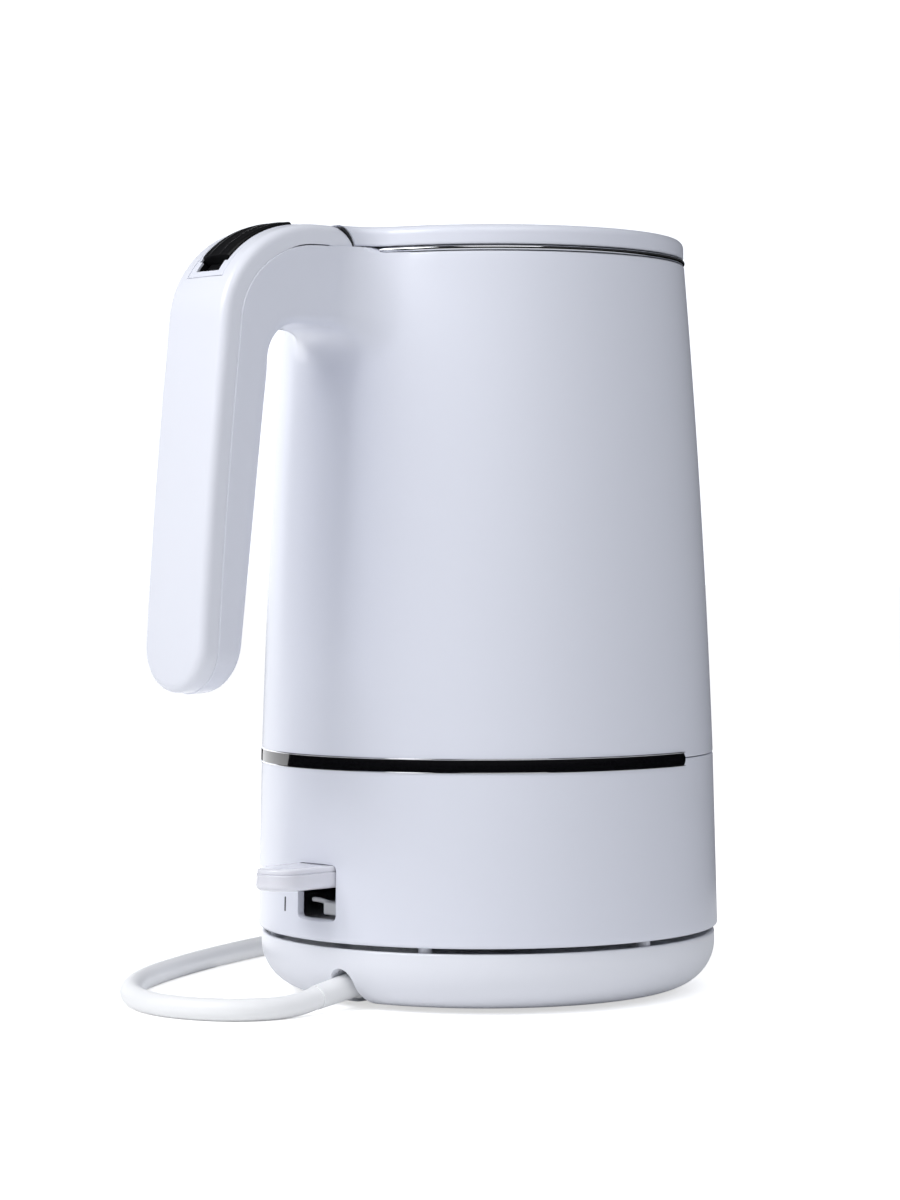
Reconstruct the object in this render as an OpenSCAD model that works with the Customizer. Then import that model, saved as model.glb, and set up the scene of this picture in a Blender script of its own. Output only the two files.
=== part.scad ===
// Cordless jug kettle on a round power base: double wall, rear handle, hinged lid.
// +Z is up. The origin is under the jug's axis on the surface that the base stands on.
// The handle points to -X and the spout to +X.

/* [Jug] */
// Radius of the outer wall at its lower edge
foot_r = 74.3; // [73.8:0.1:75]
// Radius of the outer wall at the trim band
band_r = 72.9; // [72.5:0.1:73.3]
// Radius of the outer wall at the rim
rim_r = 64.1; // [63.8:0.1:64.6]
// How far the outer wall bulges past a straight cone
bulge = 0.85; // [0:0.05:1.2]
// Height of the jug's lower edge
foot_z = 21.2; // [20.9:0.1:21.6]
// Height of the lower edge of the trim band
band_z = 74; // [72:0.5:76]
// Height of the trim band
band_h = 4.7; // [4:0.1:6]
// Half of the angle that the trim band covers, from the handle
band_half_angle = 104; // [60:1:140]
// Height of the rim of the outer wall
rim_z = 232.8; // [232.4:0.1:233]
// Thickness of the plastic walls
wall = 2.4; // [2:0.1:2.6]

/* [Inner pot] */
// Outer radius of the pot at its mouth
pot_mouth_r = 60.6; // [60.2:0.1:61]
// Outer radius of the pot near its floor
pot_floor_r = 66; // [64:0.5:67]
// Thickness of the pot's sheet
pot_sheet = 0.8; // [0.6:0.1:1]
// Height of the underside of the pot's floor
pot_floor_z = 62; // [61:0.5:64]

/* [Lid] */
// Radius of the lid
lid_r = 63.9; // [63.5:0.1:64.3]
// Height of the underside of the lid's edge
lid_z = 234.9; // [234.8:0.1:235.1]
// Height of the flat top that the lid and handle share
top_z = 241; // [240.8:0.1:241.4]
// Rise of the middle of the lid above its edge
lid_crown = 1.6; // [0.5:0.1:2.5]

/* [Handle] */
// Width of the handle
handle_w = 28.5; // [28:0.1:30]
// Height of the handle's lower end
handle_end_z = 99.5; // [98:0.5:106]
// Depth of the cover shell from the back of the handle to its seam
cover_d = 6.8; // [6.4:0.1:7.2]
// Width of the release button
button_w = 12.6; // [12:0.1:13]

/* [Switch] */
// Width of the switch lever
lever_w = 16.8; // [16:0.2:17]
// Distance of the lever's tip from the jug's axis
lever_tip = 95; // [90:1:98]
// Thickness of the lever
lever_t = 6.9; // [6:0.1:7.2]

/* [Power base] */
// Largest radius of the power base
base_r = 73.3; // [73:0.1:74]
// Height of the base's upper edge
base_h = 19.5; // [19.3:0.1:19.6]
// Direction of the cord exit, from the handle towards the handle's right side
cord_turn = 6; // [0:1:12]

/* [Cord] */
// Diameter of the mains cord
cord_d = 7; // [6.5:0.1:7.2]

/* [Hidden] */

round_fn = 96;
small_fn = 32;
eps = 0.01;

// Outer wall: height of the seam between the lower shell and the casing.
seam_z = band_z + 0.57 * band_h;
casing_z = band_z + band_h;
seam_gap = 0.2;
deck_z = base_h - 0.9;
cover_z = foot_z + 3.3;
cover_t = 2.5;

// Handle, in (u, z), where u runs from the jug's axis towards the handle.
corner_u = 84;
corner_z = 208.5;
corner_a = 37.2;
corner_b = top_z - corner_z;
inner_slope = 0.125;
inner_u = 102.5;
inner_z = 195;
arch_r = 12;
arch_z = 198;
arch_u = inner_u - arch_r;
nose_u = 77.3;
nose_r = 8.1;
nose_z = top_z - nose_r;
pocket_u = 66.5;
seam_top_z = top_z - cover_d;

// Lid hinge, and the tongue that carries it in a slot of the handle cover.
hinge_u = 81;
hinge_z = top_z - 3.8;
hinge_pin_r = 1.5;
running_gap = 0.05;
tongue_w = 16;
tongue_end_u = 83.6;
slot_w = tongue_w + 0.8;
ear_in = 8.7;
ear_out = 11.6;

// Release button and latch.
button_u = 90.5;
button_z = 236.5;
button_t = 5.2;
button_end_z = 230;
button_foot_z = 227.2;
latch_z = 229;

// Switch window and lever pivot.
window_w = 17.6;
window_z0 = 27;
window_z1 = 45.4;
lever_top_z = 44.9;
pivot_u = 50;
pivot_z = 41.5;

// Cord route: the stretch from the strain relief round the base to the coil, then the tail.
cord_r = cord_d / 2;
coil_c = [78, 102];
coil_out_r = 42;
coil_in_r = 35;
lead_route = [
    [-79, -8, 5.3], [-86, -9, 4.2], [-94, -9, 3.5], [-102, -7, 3.5], [-109, -2, 3.5], [-114, 6, 3.5],
    [-117, 16, 3.5], [-117, 27, 3.5], [-114, 38, 3.5], [-108, 49, 3.5], [-99, 60, 3.5], [-87, 71, 3.5],
    [-74, 80, 3.5], [-58, 89, 3.5], [-40, 98, 3.5], [-21, 106, 3.5], [-2, 113, 3.5], [16, 119, 3.5],
    [32, 125, 3.5], [48, 132, 3.5]];
tail_route = [
    [102, 127, 3.5], [108, 121, 7], [113, 116, 10.3], [119, 110, 11], [125, 104, 10.6], [130, 98, 9.6]];
plug_c = [149, 79];
plug_turn = 136;
plug_r = 18.5;
plug_h = 17;

// Radius of the outer wall at height z.
function cone_k(z) = (z - casing_z) / (rim_z - casing_z);
function wall_r(z) = z < casing_z
    ? foot_r + (band_r - foot_r) * (z - foot_z) / (casing_z - foot_z)
    : band_r + (rim_r - band_r) * cone_k(z) + 4 * bulge * cone_k(z) * (1 - cone_k(z));

// Back of the handle: u at height z below the rounded corner.
function back_u(z) = corner_u + corner_a + 0.124 * (corner_z - z) - 0.0003 * pow(corner_z - z, 2);
function inner_face_u(z) = inner_u + inner_slope * (inner_z - z);

// Handle outline from the top over the corner and down the back, pushed inwards by d.
function corner_point(a, d) =
    let (n = [cos(a) / corner_a, sin(a) / corner_b])
    [corner_u + corner_a * cos(a), corner_z + corner_b * sin(a)] - d * n / norm(n);
function corner_curve(d, a0 = 90, a1 = 0, steps = 10) =
    [for (i = [0:steps]) corner_point(a0 + (a1 - a0) * i / steps, d)];
function back_curve(d, z1) = [for (i = [1:5]) let (z = corner_z + (z1 - corner_z) * i / 5) [back_u(z) - d, z]];
function arc(c, r, a0, a1, steps = 8) =
    [for (i = [0:steps]) let (a = a0 + (a1 - a0) * i / steps) [c[0] + r * cos(a), c[1] + r * sin(a)]];
function flip(points) = [for (i = [len(points) - 1:-1:0]) points[i]];

// Draws a (u, z) outline as a slab of width w, centred on the handle's plane.
module slab(points, w) {
    rotate([90, 0, 180])
        linear_extrude(height = w, center = true)
            polygon(points);
}

// Box from (u0, z0) to (u1, z1), w wide, centred on the handle's plane or v off it.
module block(u0, u1, z0, z1, w, v = 0) {
    translate([-u1, v - w / 2, z0])
        cube([u1 - u0, w, z1 - z0]);
}

// Rod along Y through (u, z).
module cross_rod(u, z, r, w, v = 0) {
    translate([-u, v, z])
        rotate([90, 0, 0])
            cylinder(r = r, h = w, center = true, $fn = small_fn);
}

// The handle's outline from behind: straight sides and a round lower end.
module pill(w, end_z) {
    translate([-200, -w / 2, end_z + w / 2])
        cube([200, w, 200]);
    translate([-200, 0, end_z + w / 2])
        rotate([0, 90, 0])
            cylinder(d = w, h = 200, $fn = round_fn);
}

module ring(r_in, r_out, z0, z1) {
    translate([0, 0, z0])
        difference() {
            cylinder(r = r_out, h = z1 - z0, $fn = round_fn);
            translate([0, 0, -1])
                cylinder(r = r_in, h = z1 - z0 + 2, $fn = round_fn);
        }
}

module disc(r, z0, z1) {
    translate([0, 0, z0])
        cylinder(r = r, h = z1 - z0, $fn = round_fn);
}

// Copies its children to a circle of the given angles.
module around(r, angles) {
    for (a = angles)
        rotate([0, 0, a])
            translate([r, 0, 0])
                children();
}

// Pan-head screw with its head at the bottom, pointing up.
module screw_up(head_r, head_h, r, length) {
    cylinder(r = head_r, h = head_h, $fn = small_fn);
    cylinder(r = r, h = length, $fn = small_fn);
}

// Round wire or cord along a list of points.
function unit(v) = v / norm(v);
function tangent(p, i) = unit(p[min(i + 1, len(p) - 1)] - p[max(i - 1, 0)]);
function side_dir(t, up) = unit(cross(up, t));
function smooth_point(p, k, t) =
    let (a = p[max(k - 1, 0)], b = p[k], c = p[k + 1], d = p[min(k + 2, len(p) - 1)])
    0.5 * (2 * b + (c - a) * t + (2 * a - 5 * b + 4 * c - d) * t * t + (3 * b - a - 3 * c + d) * t * t * t);
function smooth_route(p, per) =
    concat([for (k = [0:len(p) - 2]) for (j = [0:per - 1]) smooth_point(p, k, j / per)], [p[len(p) - 1]]);

module tube_along(p, r, sides, up = [0, 0, 1]) {
    n = len(p);
    points = [for (i = [0:n - 1])
        let (t = tangent(p, i), s = side_dir(t, up), w = cross(t, s))
        for (j = [0:sides - 1]) p[i] + r * (cos(360 * j / sides) * s + sin(360 * j / sides) * w)];
    walls = [for (i = [0:n - 2]) for (j = [0:sides - 1])
        let (a = i * sides + j, b = i * sides + (j + 1) % sides)
        for (half = [[a, b, b + sides], [a, b + sides, a + sides]]) half];
    start_cap = [[for (j = [sides - 1:-1:0]) j]];
    end_cap = [[for (j = [0:sides - 1]) (n - 1) * sides + j]];
    polyhedron(points = points, faces = concat(walls, start_cap, end_cap));
}

function helix(r, pitch, turns, per) =
    [for (i = [0:turns * per]) let (a = 360 * i / per) [r * cos(a), r * sin(a), pitch * i / per]];

module coil_spring(r, wire_r, length, turns) {
    translate([0, 0, wire_r])
        tube_along(helix(r, (length - 2 * wire_r) / turns, turns, 10), wire_r, 5);
}

// Power base.

base_curve = [for (i = [0:8]) let (a = -90 + 90 * i / 8)
    [57.5 + (base_r - 57.5) * cos(a), 16 + 14.8 * sin(a)]];

module cord_notch(r) {
    rotate([0, 0, 180 + cord_turn])
        translate([48, 0, 0]) {
            translate([0, 0, 8.3])
                rotate([0, 90, 0])
                    cylinder(r = r, h = 40, $fn = small_fn);
            translate([0, -r, -1])
                cube([40, 2 * r, 9.3]);
        }
}

module base_housing() color("whitesmoke") difference() {
    rotate_extrude($fn = round_fn)
        polygon(concat(
            [[52.8, 1.2]], base_curve,
            [[base_r, base_h - 0.6], [base_r - 0.6, base_h], [base_r - 1.4, base_h], [base_r - 1.4, deck_z],
             [20.4, deck_z], [20.4, deck_z - wall], [base_r - wall, deck_z - wall]],
            flip([for (p = base_curve) if (p[1] > 5) [p[0] - wall, p[1] + 0.6]]),
            [[57, 4.6], [52.8, 3.8]]));
    cord_notch(4.6);
}

module base_plate() color("whitesmoke") difference() {
    disc(52.5, 1.2, 3.6);
    around(44, [45:90:315]) translate([0, 0, -1]) cylinder(r = 6.2, h = 3, $fn = small_fn);
    translate([0, 0, -1]) cylinder(r = 10.2, h = 3, $fn = small_fn);
    around(38, [0:90:270]) translate([0, 0, -1]) cylinder(r = 1.6, h = 6, $fn = small_fn);
    around(38, [0:90:270]) translate([0, 0, 0]) cylinder(r = 3.2, h = 2.4, $fn = small_fn);
}

module base_feet() color("gainsboro") {
    around(44, [45:90:315]) cylinder(r = 6, h = 2, $fn = small_fn);
    cylinder(r = 10, h = 2, $fn = small_fn);
}

module base_screws() color("silver") {
    around(38, [0:90:270]) translate([0, 0, 1.6]) screw_up(2.9, 0.8, 1.4, 9);
}

module base_socket() color("dimgray") difference() {
    union() {
        disc(19.8, 3.7, 23);
        disc(30, 14, deck_z - wall - 0.05);
    }
    ring(8.6, 13, 8, 24);
    disc(3.8, 8, 24);
}

module socket_contacts() color("goldenrod") {
    ring(8.7, 9.2, 8.2, 14);
    ring(3.3, 3.7, 8.2, 14);
}

relief_start = 51.5;
relief_end = 82;
relief_tilt = 8;

module cord_relief() color("white") rotate([0, 0, 180 + cord_turn]) translate([relief_start, 0, 9.4])
    rotate([0, 90 + relief_tilt, 0]) {
        cylinder(r1 = 4.2, r2 = 3.75, h = relief_end - relief_start, $fn = small_fn);
        translate([0, 0, -3]) cylinder(r = 5.4, h = 3, $fn = small_fn);
    }

module cord_tube() color("white") {
    tube_along(smooth_route(lead_route, 2), cord_r, 8);
    tube_along(smooth_route(tail_route, 2), cord_r, 8);
}

module cord_coil() color("white") translate([coil_c[0], coil_c[1], 0])
    ring(coil_in_r - cord_r, coil_out_r + cord_r, 0, cord_d);

module plug_body() color("white") translate([plug_c[0], plug_c[1], 0]) {
    cylinder(r = plug_r, h = plug_h, $fn = round_fn);
    rotate([0, 0, plug_turn]) translate([10, 0, 9.5]) rotate([0, 90, 0])
        cylinder(r1 = 6.5, r2 = 4.2, h = 18, $fn = small_fn);
}

module plug_pins() color("silver") translate([plug_c[0], plug_c[1], plug_h])
    for (side = [-1, 1])
        translate([0, side * 9.5, 0]) {
            cylinder(r = 2.4, h = 17, $fn = small_fn);
            translate([0, 0, 17]) sphere(r = 2.4, $fn = small_fn);
        }

// Jug.

casing_heights = [for (i = [0:10]) seam_z + seam_gap / 2 + (rim_z - seam_z - seam_gap / 2) * i / 10];

module casing_wall() {
    rotate_extrude($fn = round_fn)
        polygon(concat(
            [for (z = casing_heights) [wall_r(z), z]],
            flip([for (z = casing_heights) [wall_r(z) - wall, z]])));
}

core_outline = concat(
    [[61, seam_top_z]], corner_curve(cover_d), back_curve(cover_d, handle_end_z),
    [[inner_face_u(handle_end_z), handle_end_z]],
    arc([arch_u, arch_z], arch_r, 0, 90),
    arc([wall_r(arch_z) + arch_r, arch_z], arch_r, 90, 180),
    [[61, arch_z]]);

pocket_outline = concat(
    [[pocket_u, top_z]], corner_curve(cover_d - 1), back_curve(cover_d - 1, handle_end_z + wall),
    [[inner_face_u(handle_end_z) + wall, handle_end_z + wall]],
    arc([arch_u, arch_z], arch_r + wall, 0, 90),
    [[pocket_u, arch_z + arch_r + wall]]);

module handle_core() {
    difference() {
        intersection() {
            slab(core_outline, handle_w);
            pill(handle_w, handle_end_z);
        }
        intersection() {
            slab(pocket_outline, handle_w - 2 * wall);
            pill(handle_w - 2 * wall, handle_end_z + wall);
        }
    }
    // Ears that hold the hinge pin.
    for (side = [-1, 1])
        block(77, 85, arch_z + arch_r, top_z - 1.5, ear_out - ear_in, side * (ear_in + ear_out) / 2);
    // Shelf under the latch and seat of the button spring.
    block(86, 96, 226, latch_z - 0.3, handle_w - 2 * wall + eps);
    block(100, 109, 210, 213.5, handle_w - 2 * wall + eps);
}

beak_plan = [[58, -20], [64.5, -17.5], [77, -2], [77, 2], [64.5, 17.5], [58, 20]];
beak_side = [[58, 201], [64.8, 201], [77.5, 230.5], [77.5, rim_z], [58, rim_z]];
lip_plan = [[50, -17.4], [63.5, -15.2], [75, -1], [75, 1], [63.5, 15.2], [50, 17.4]];
lip_side = [[50, 207], [65.5, 207], [75.5, 231], [75.5, 240], [50, 240]];

// Solid whose plan view and side view are the two outlines.
module beak_shape(plan, side) {
    intersection() {
        translate([0, 0, 190])
            linear_extrude(height = 60)
                polygon(plan);
        rotate([90, 0, 0])
            linear_extrude(height = 60, center = true)
                polygon(side);
    }
}

module inside_wall() {
    rotate_extrude($fn = round_fn)
        polygon(concat(
            [[0, casing_heights[0] - 1]],
            [for (z = casing_heights) [wall_r(z) - wall, z]],
            [[rim_r - wall, rim_z + 10], [0, rim_z + 10]]));
}

module trim_groove(clear) {
    rotate([0, 0, 180 - band_half_angle])
        rotate_extrude(angle = 2 * band_half_angle, $fn = round_fn)
            translate([band_r - 1.5 - clear, band_z - clear])
                square([5, band_h + 2 * clear]);
}

screw_heights = [122, 184];

module screw_axis(z, r, u0, u1) {
    translate([-u1, 0, z])
        rotate([0, 90, 0])
            cylinder(r = r, h = u1 - u0, $fn = small_fn);
}

module body_casing() color("ghostwhite") difference() {
    union() {
        casing_wall();
        difference() {
            union() {
                handle_core();
                beak_shape(beak_plan, beak_side);
            }
            inside_wall();
        }
    }
    beak_shape(lip_plan, lip_side);
    trim_groove(0);
    cross_rod(hinge_u, hinge_z, hinge_pin_r, 30);
    for (z = screw_heights) {
        screw_axis(z, 1.6, inner_face_u(z) - 1, inner_face_u(z) + 5);
        screw_axis(z, 3.1, inner_face_u(z) - 2, inner_face_u(z) + 1);
    }
}

lower_heights = [foot_z, band_z - 20, seam_z - seam_gap / 2];

module lower_shell() color("ghostwhite") difference() {
    union() {
        rotate_extrude($fn = round_fn)
            polygon(concat(
                [for (z = lower_heights) [wall_r(z), z]],
                flip([for (z = lower_heights) [wall_r(z) - wall, z]])));
        around(68.4, [0, 120, 240]) translate([0, 0, cover_z + cover_t])
            cylinder(r = 3.6, h = 13, $fn = small_fn);
    }
    around(68.4, [0, 120, 240]) translate([0, 0, cover_z]) cylinder(r = 1.3, h = 13, $fn = small_fn);
    trim_groove(0);
    block(65, 80, window_z0, window_z1, window_w);
}

module trim_band() color("black")
    rotate([0, 0, 180.3 - band_half_angle])
        rotate_extrude(angle = 2 * band_half_angle - 0.6, $fn = round_fn)
            translate([band_r - 1.4, band_z + 0.1])
                square([1.6, band_h - 0.2]);

module rim_ring() color("silver") difference() {
    ring(pot_mouth_r - pot_sheet, rim_r + 0.1, rim_z, rim_z + 1.8);
    block(40, 80, rim_z - 1, rim_z + 3, 34);
}

module inner_pot() color("lightgray") difference() {
    rotate_extrude($fn = round_fn)
        polygon([
            [0, pot_floor_z], [pot_floor_r - 6, pot_floor_z], [pot_floor_r - 1.8, pot_floor_z + 1.8],
            [pot_floor_r, pot_floor_z + 6], [pot_mouth_r, rim_z], [pot_mouth_r - pot_sheet, rim_z],
            [pot_floor_r - pot_sheet, pot_floor_z + 6.2], [pot_floor_r - 2.4, pot_floor_z + 2.6],
            [pot_floor_r - 6.4, pot_floor_z + pot_sheet], [0, pot_floor_z + pot_sheet]]);
    translate([50, -13, 210]) cube([20, 26, 18]);
}

module spout_filter() color("silver") difference() {
    translate([56.2, -15, 206]) cube([0.8, 30, 21.4]);
    for (row = [0:3]) for (col = [-4:4])
        translate([50, col * 3, 211 + row * 4]) rotate([0, 90, 0]) cylinder(r = 0.9, h = 20, $fn = 16);
}

module bottom_cover() color("whitesmoke") difference() {
    disc(wall_r(cover_z) - wall - 0.2, cover_z, cover_z + cover_t);
    disc(14, cover_z - 1, cover_z + cover_t + 1);
    around(68.4, [0, 120, 240]) translate([0, 0, cover_z - 1]) cylinder(r = 1.6, h = 6, $fn = small_fn);
}

module jug_nubs() color("white")
    around(69.2, [30:60:330]) translate([0, 0, deck_z + 0.1])
        cylinder(r = 2.1, h = cover_z - deck_z - 0.1, $fn = small_fn);

module bottom_screws() color("silver")
    around(68.4, [0, 120, 240]) translate([0, 0, cover_z - 1.4]) screw_up(2.8, 1.4, 1.3, 12);

module jug_connector() color("dimgray") difference() {
    disc(24, cover_z + cover_t, 41);
    around(18, [60, 180, 300]) translate([0, 0, 30]) cylinder(r = 1.3, h = 20, $fn = small_fn);
}

module probe_contacts() color("goldenrod") {
    ring(9.8, 11.8, 10, cover_z + cover_t);
    disc(2.6, 10, cover_z + cover_t);
}

module heating_plate() color("silver") disc(50, 58, pot_floor_z);

module heating_element() color("darkgray") {
    rotate([0, 0, 15])
        rotate_extrude(angle = 330, $fn = round_fn)
            translate([40, 54.2]) circle(r = 3.6, $fn = small_fn);
    around(40, [15, 345]) translate([0, 0, 44]) cylinder(r = 2, h = 10, $fn = small_fn);
}

module steam_switch() color("gray") difference() {
    union() {
        block(30, 40, cover_z + cover_t, 50, 26);
        for (side = [-1, 1])
            block(40 - eps, 56, cover_z + cover_t, 48, 2, side * 10.4);
        block(54, 69.5, cover_z + cover_t, 32.5, 7, -7.9);
    }
    cross_rod(pivot_u, pivot_z, hinge_pin_r, 40);
}

module steam_tube() color("lightgray") translate([-32.8, 0, 50])
    difference() {
        cylinder(r = 2.6, h = 7.6, $fn = small_fn);
        translate([0, 0, -1]) cylinder(r = 1.6, h = 10, $fn = small_fn);
    }

module lever_pin() color("silver") cross_rod(pivot_u, pivot_z, hinge_pin_r, 22.8);

module signal_lamp() color("orange") translate([-44, -16, cover_z + cover_t]) {
    cylinder(r = 2.5, h = 8, $fn = small_fn);
    translate([0, 0, 8]) sphere(r = 2.5, $fn = small_fn);
}

// Printed stroke beside the switch: on.
module on_mark() color("dimgray") rotate([0, 0, -13.5])
    block(wall_r(31) - 0.3, wall_r(31) + 0.12, 29, 33.6, 0.6);

// Handle cover.

cover_outline = concat(
    arc([nose_u, nose_z], nose_r, 170.7, 90), corner_curve(0), back_curve(0, handle_end_z),
    flip(back_curve(cover_d, handle_end_z)), flip(corner_curve(cover_d)));
cover_hollow = concat(
    arc([nose_u, nose_z], nose_r - 2.2, 165, 90), corner_curve(2.2), back_curve(2.2, handle_end_z + 2.2),
    flip(back_curve(cover_d + 1, handle_end_z + 2.2)), flip(corner_curve(cover_d + 1)));

// Cut-out along the top rear corner, from the front of the button to the foot of its recess.
module button_cut(w, start_a, end_z, depth) {
    difference() {
        slab(concat(corner_curve(-4, start_a, 20), flip(corner_curve(depth, start_a, 20))), w);
        block(60, 140, 190, end_z, w + 2);
    }
}

module handle_cover() color("ghostwhite") {
    difference() {
        intersection() {
            slab(cover_outline, handle_w);
            pill(handle_w, handle_end_z);
        }
        intersection() {
            slab(cover_hollow, handle_w - 4.4);
            pill(handle_w - 4.4, handle_end_z + 2.2);
        }
        block(60, 86.2, 220, top_z + 4, slot_w);
        block(74.5, 86.2, 220, top_z - 1.2, 2 * ear_out + 0.5);
        button_cut(button_w + 4.4, 86, 223.6, 9);
    }
    difference() {
        for (z = screw_heights)
            screw_axis(z, 3.2, inner_face_u(z) + wall + 0.2, back_u(z) - 2);
        for (z = screw_heights)
            screw_axis(z, 1.3, inner_face_u(z), back_u(z) - 4);
    }
}

module handle_screws() color("silver")
    for (z = screw_heights) {
        screw_axis(z, 2.9, inner_face_u(z) - 0.8, inner_face_u(z) + 1);
        screw_axis(z, 1.3, inner_face_u(z) + 1 - eps, inner_face_u(z) + 11);
    }

module button_bezel() color("white") difference() {
    slab(concat(corner_curve(0.1, 85.7, 26), flip(corner_curve(6.6, 85.7, 26))), button_w + 4.2);
    block(60, 140, 190, 223.8, 30);
    button_cut(button_w + 0.8, 84.6, 224.2, 12);
    cross_rod(button_u, button_z, 1, 30);
}

module hinge_pin() color("silver") cross_rod(hinge_u, hinge_z, hinge_pin_r, 2 * ear_out);

module button_pin() color("silver") cross_rod(button_u, button_z, 1, 15.2);

// Moving pieces.

module switch_lever() color("white") difference() {
    union() {
        intersection() {
            block(pivot_u - 4, lever_tip, lever_top_z - lever_t, lever_top_z, lever_w);
            union() {
                block(pivot_u - 5, lever_tip - 8, 0, 60, lever_w);
                translate([-(lever_tip - 12), 0, 0])
                    cylinder(r = 12, h = 60, $fn = round_fn);
            }
        }
        cross_rod(pivot_u, pivot_z, 4, lever_w);
    }
    cross_rod(pivot_u, pivot_z, hinge_pin_r + running_gap, 40);
}

lid_curve = [for (i = [0:6]) let (a = 90 * i / 6) [lid_r - 2 + 2 * cos(a), top_z - 2.6 + 2 * sin(a)]];

module lid_cap() color("ghostwhite") difference() {
    union() {
        difference() {
            union() {
                rotate_extrude($fn = round_fn)
                    polygon(concat(
                        [[0, lid_z], [lid_r, lid_z]], lid_curve,
                        [[40, top_z + 0.35 * lid_crown], [20, top_z + 0.8 * lid_crown], [0, top_z + lid_crown]]));
                block(45, nose_u, lid_z, top_z, handle_w);
            }
            rotate_extrude($fn = round_fn)
                polygon([[0, lid_z - 1], [lid_r - 2, lid_z - 1], [lid_r - 2, top_z - 3], [50, top_z - 1.8],
                    [0, top_z - 1]]);
            cross_rod(nose_u, nose_z, nose_r + 0.35, 40);
        }
        block(60, tongue_end_u, hinge_z + 2.7, top_z, tongue_w);
        block(66, hinge_u, hinge_z - 2, top_z, 9);
        cross_rod(hinge_u, hinge_z, 3, 9);
        block(72, 74, 226.5, top_z - 2, 7);
        block(74 - eps, 76.2, 226.5, 228.4, 7);
    }
    cross_rod(hinge_u, hinge_z, hinge_pin_r + running_gap, 40);
}

module lid_liner() color("lightgray") difference() {
    union() {
        disc(61.6, lid_z, lid_z + 1.2);
        disc(57.4, 228.4, lid_z + eps);
    }
    disc(55.4, 229.9, lid_z + 2);
}

module lid_gasket() color("silver") ring(57.4, 59.2, 229.4, 232);

module lid_spring() color("silver") translate([-hinge_u, -8, hinge_z])
    rotate([-90, 0, 0]) coil_spring(2.2, 0.3, 3, 3);

module release_button() color("black") difference() {
    union() {
        difference() {
            slab(concat(corner_curve(-0.8, 84, 30), flip(corner_curve(button_t, 84, 30))), button_w);
            block(60, 140, 190, button_end_z, 30);
        }
        difference() {
            slab(concat(corner_curve(2.6, 50, 26), flip(corner_curve(button_t, 50, 26))), button_w - 0.6);
            block(60, 140, 190, button_foot_z, 30);
        }
        cross_rod(button_u, button_z, 2.2, button_w);
    }
    cross_rod(button_u, button_z, 1 + running_gap, 30);
}

module button_spring() color("silver") translate([-104.5, 0, 213.6]) coil_spring(2.8, 0.5, 15, 4);

module latch_slide() color("dimgray") {
    block(76.6, 96, latch_z, latch_z + 2.4, 8);
    block(92.4, 95.2, latch_z, latch_z + 2.8, 8);
}

base_housing();
base_plate();
base_feet();
base_screws();
base_socket();
socket_contacts();
cord_relief();
cord_tube();
cord_coil();
plug_body();
plug_pins();
body_casing();
lower_shell();
trim_band();
rim_ring();
inner_pot();
spout_filter();
bottom_cover();
jug_nubs();
bottom_screws();
jug_connector();
probe_contacts();
heating_plate();
heating_element();
steam_switch();
steam_tube();
lever_pin();
signal_lamp();
on_mark();
handle_cover();
handle_screws();
button_bezel();
hinge_pin();
button_pin();
switch_lever();
lid_cap();
lid_liner();
lid_gasket();
lid_spring();
release_button();
button_spring();
latch_slide();
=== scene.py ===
"""Looks of a cordless jug kettle and its power base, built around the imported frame.

Lengths in this file are in millimetres unless a name says otherwise, and meshes are put into the scene in metres.
u is the distance from the jug's axis towards the handle, which is -X.
"""

import logging
import math
from dataclasses import dataclass, field
from enum import Enum
from typing import Sequence

import bmesh
import bpy
import numpy as np
from mathutils import Matrix, Vector


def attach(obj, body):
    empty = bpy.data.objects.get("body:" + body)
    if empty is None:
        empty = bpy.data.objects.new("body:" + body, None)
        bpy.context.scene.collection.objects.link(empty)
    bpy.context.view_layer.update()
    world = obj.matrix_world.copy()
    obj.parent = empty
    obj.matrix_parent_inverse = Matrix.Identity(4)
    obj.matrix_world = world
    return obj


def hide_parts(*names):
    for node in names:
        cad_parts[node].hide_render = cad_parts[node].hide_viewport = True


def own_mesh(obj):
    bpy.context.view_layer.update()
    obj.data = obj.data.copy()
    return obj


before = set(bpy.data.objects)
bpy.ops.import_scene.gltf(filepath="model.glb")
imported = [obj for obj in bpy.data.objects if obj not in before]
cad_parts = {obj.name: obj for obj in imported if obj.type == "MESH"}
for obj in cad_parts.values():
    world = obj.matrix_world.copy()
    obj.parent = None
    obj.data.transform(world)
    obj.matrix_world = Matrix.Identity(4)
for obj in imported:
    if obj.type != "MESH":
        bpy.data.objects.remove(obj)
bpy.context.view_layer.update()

log = logging.getLogger("jug")
Array = np.ndarray
MM = 0.001
SHARP_DEG = 34.0


class Slot(Enum):
    """Material slots of the record."""

    WHITE = "white_plastic"
    BASE = "base_plastic"
    LEVER = "lever_plastic"
    BLACK = "black_gloss"
    DARK = "dark_plastic"
    GREY = "grey_plastic"
    CHROME = "chrome_trim"
    STEEL = "stainless"
    ZINC = "zinc_steel"
    BRASS = "brass_contact"
    ALLOY = "heater_alloy"
    SILICONE = "silicone"
    CORD = "cord_pvc"
    AMBER = "amber_glass"


# ---------------------------------------------------------------- surfaces


@dataclass
class Shell:
    """One surface: points in millimetres, and quads as rows of four point numbers."""

    points: Array
    faces: Array


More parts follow.
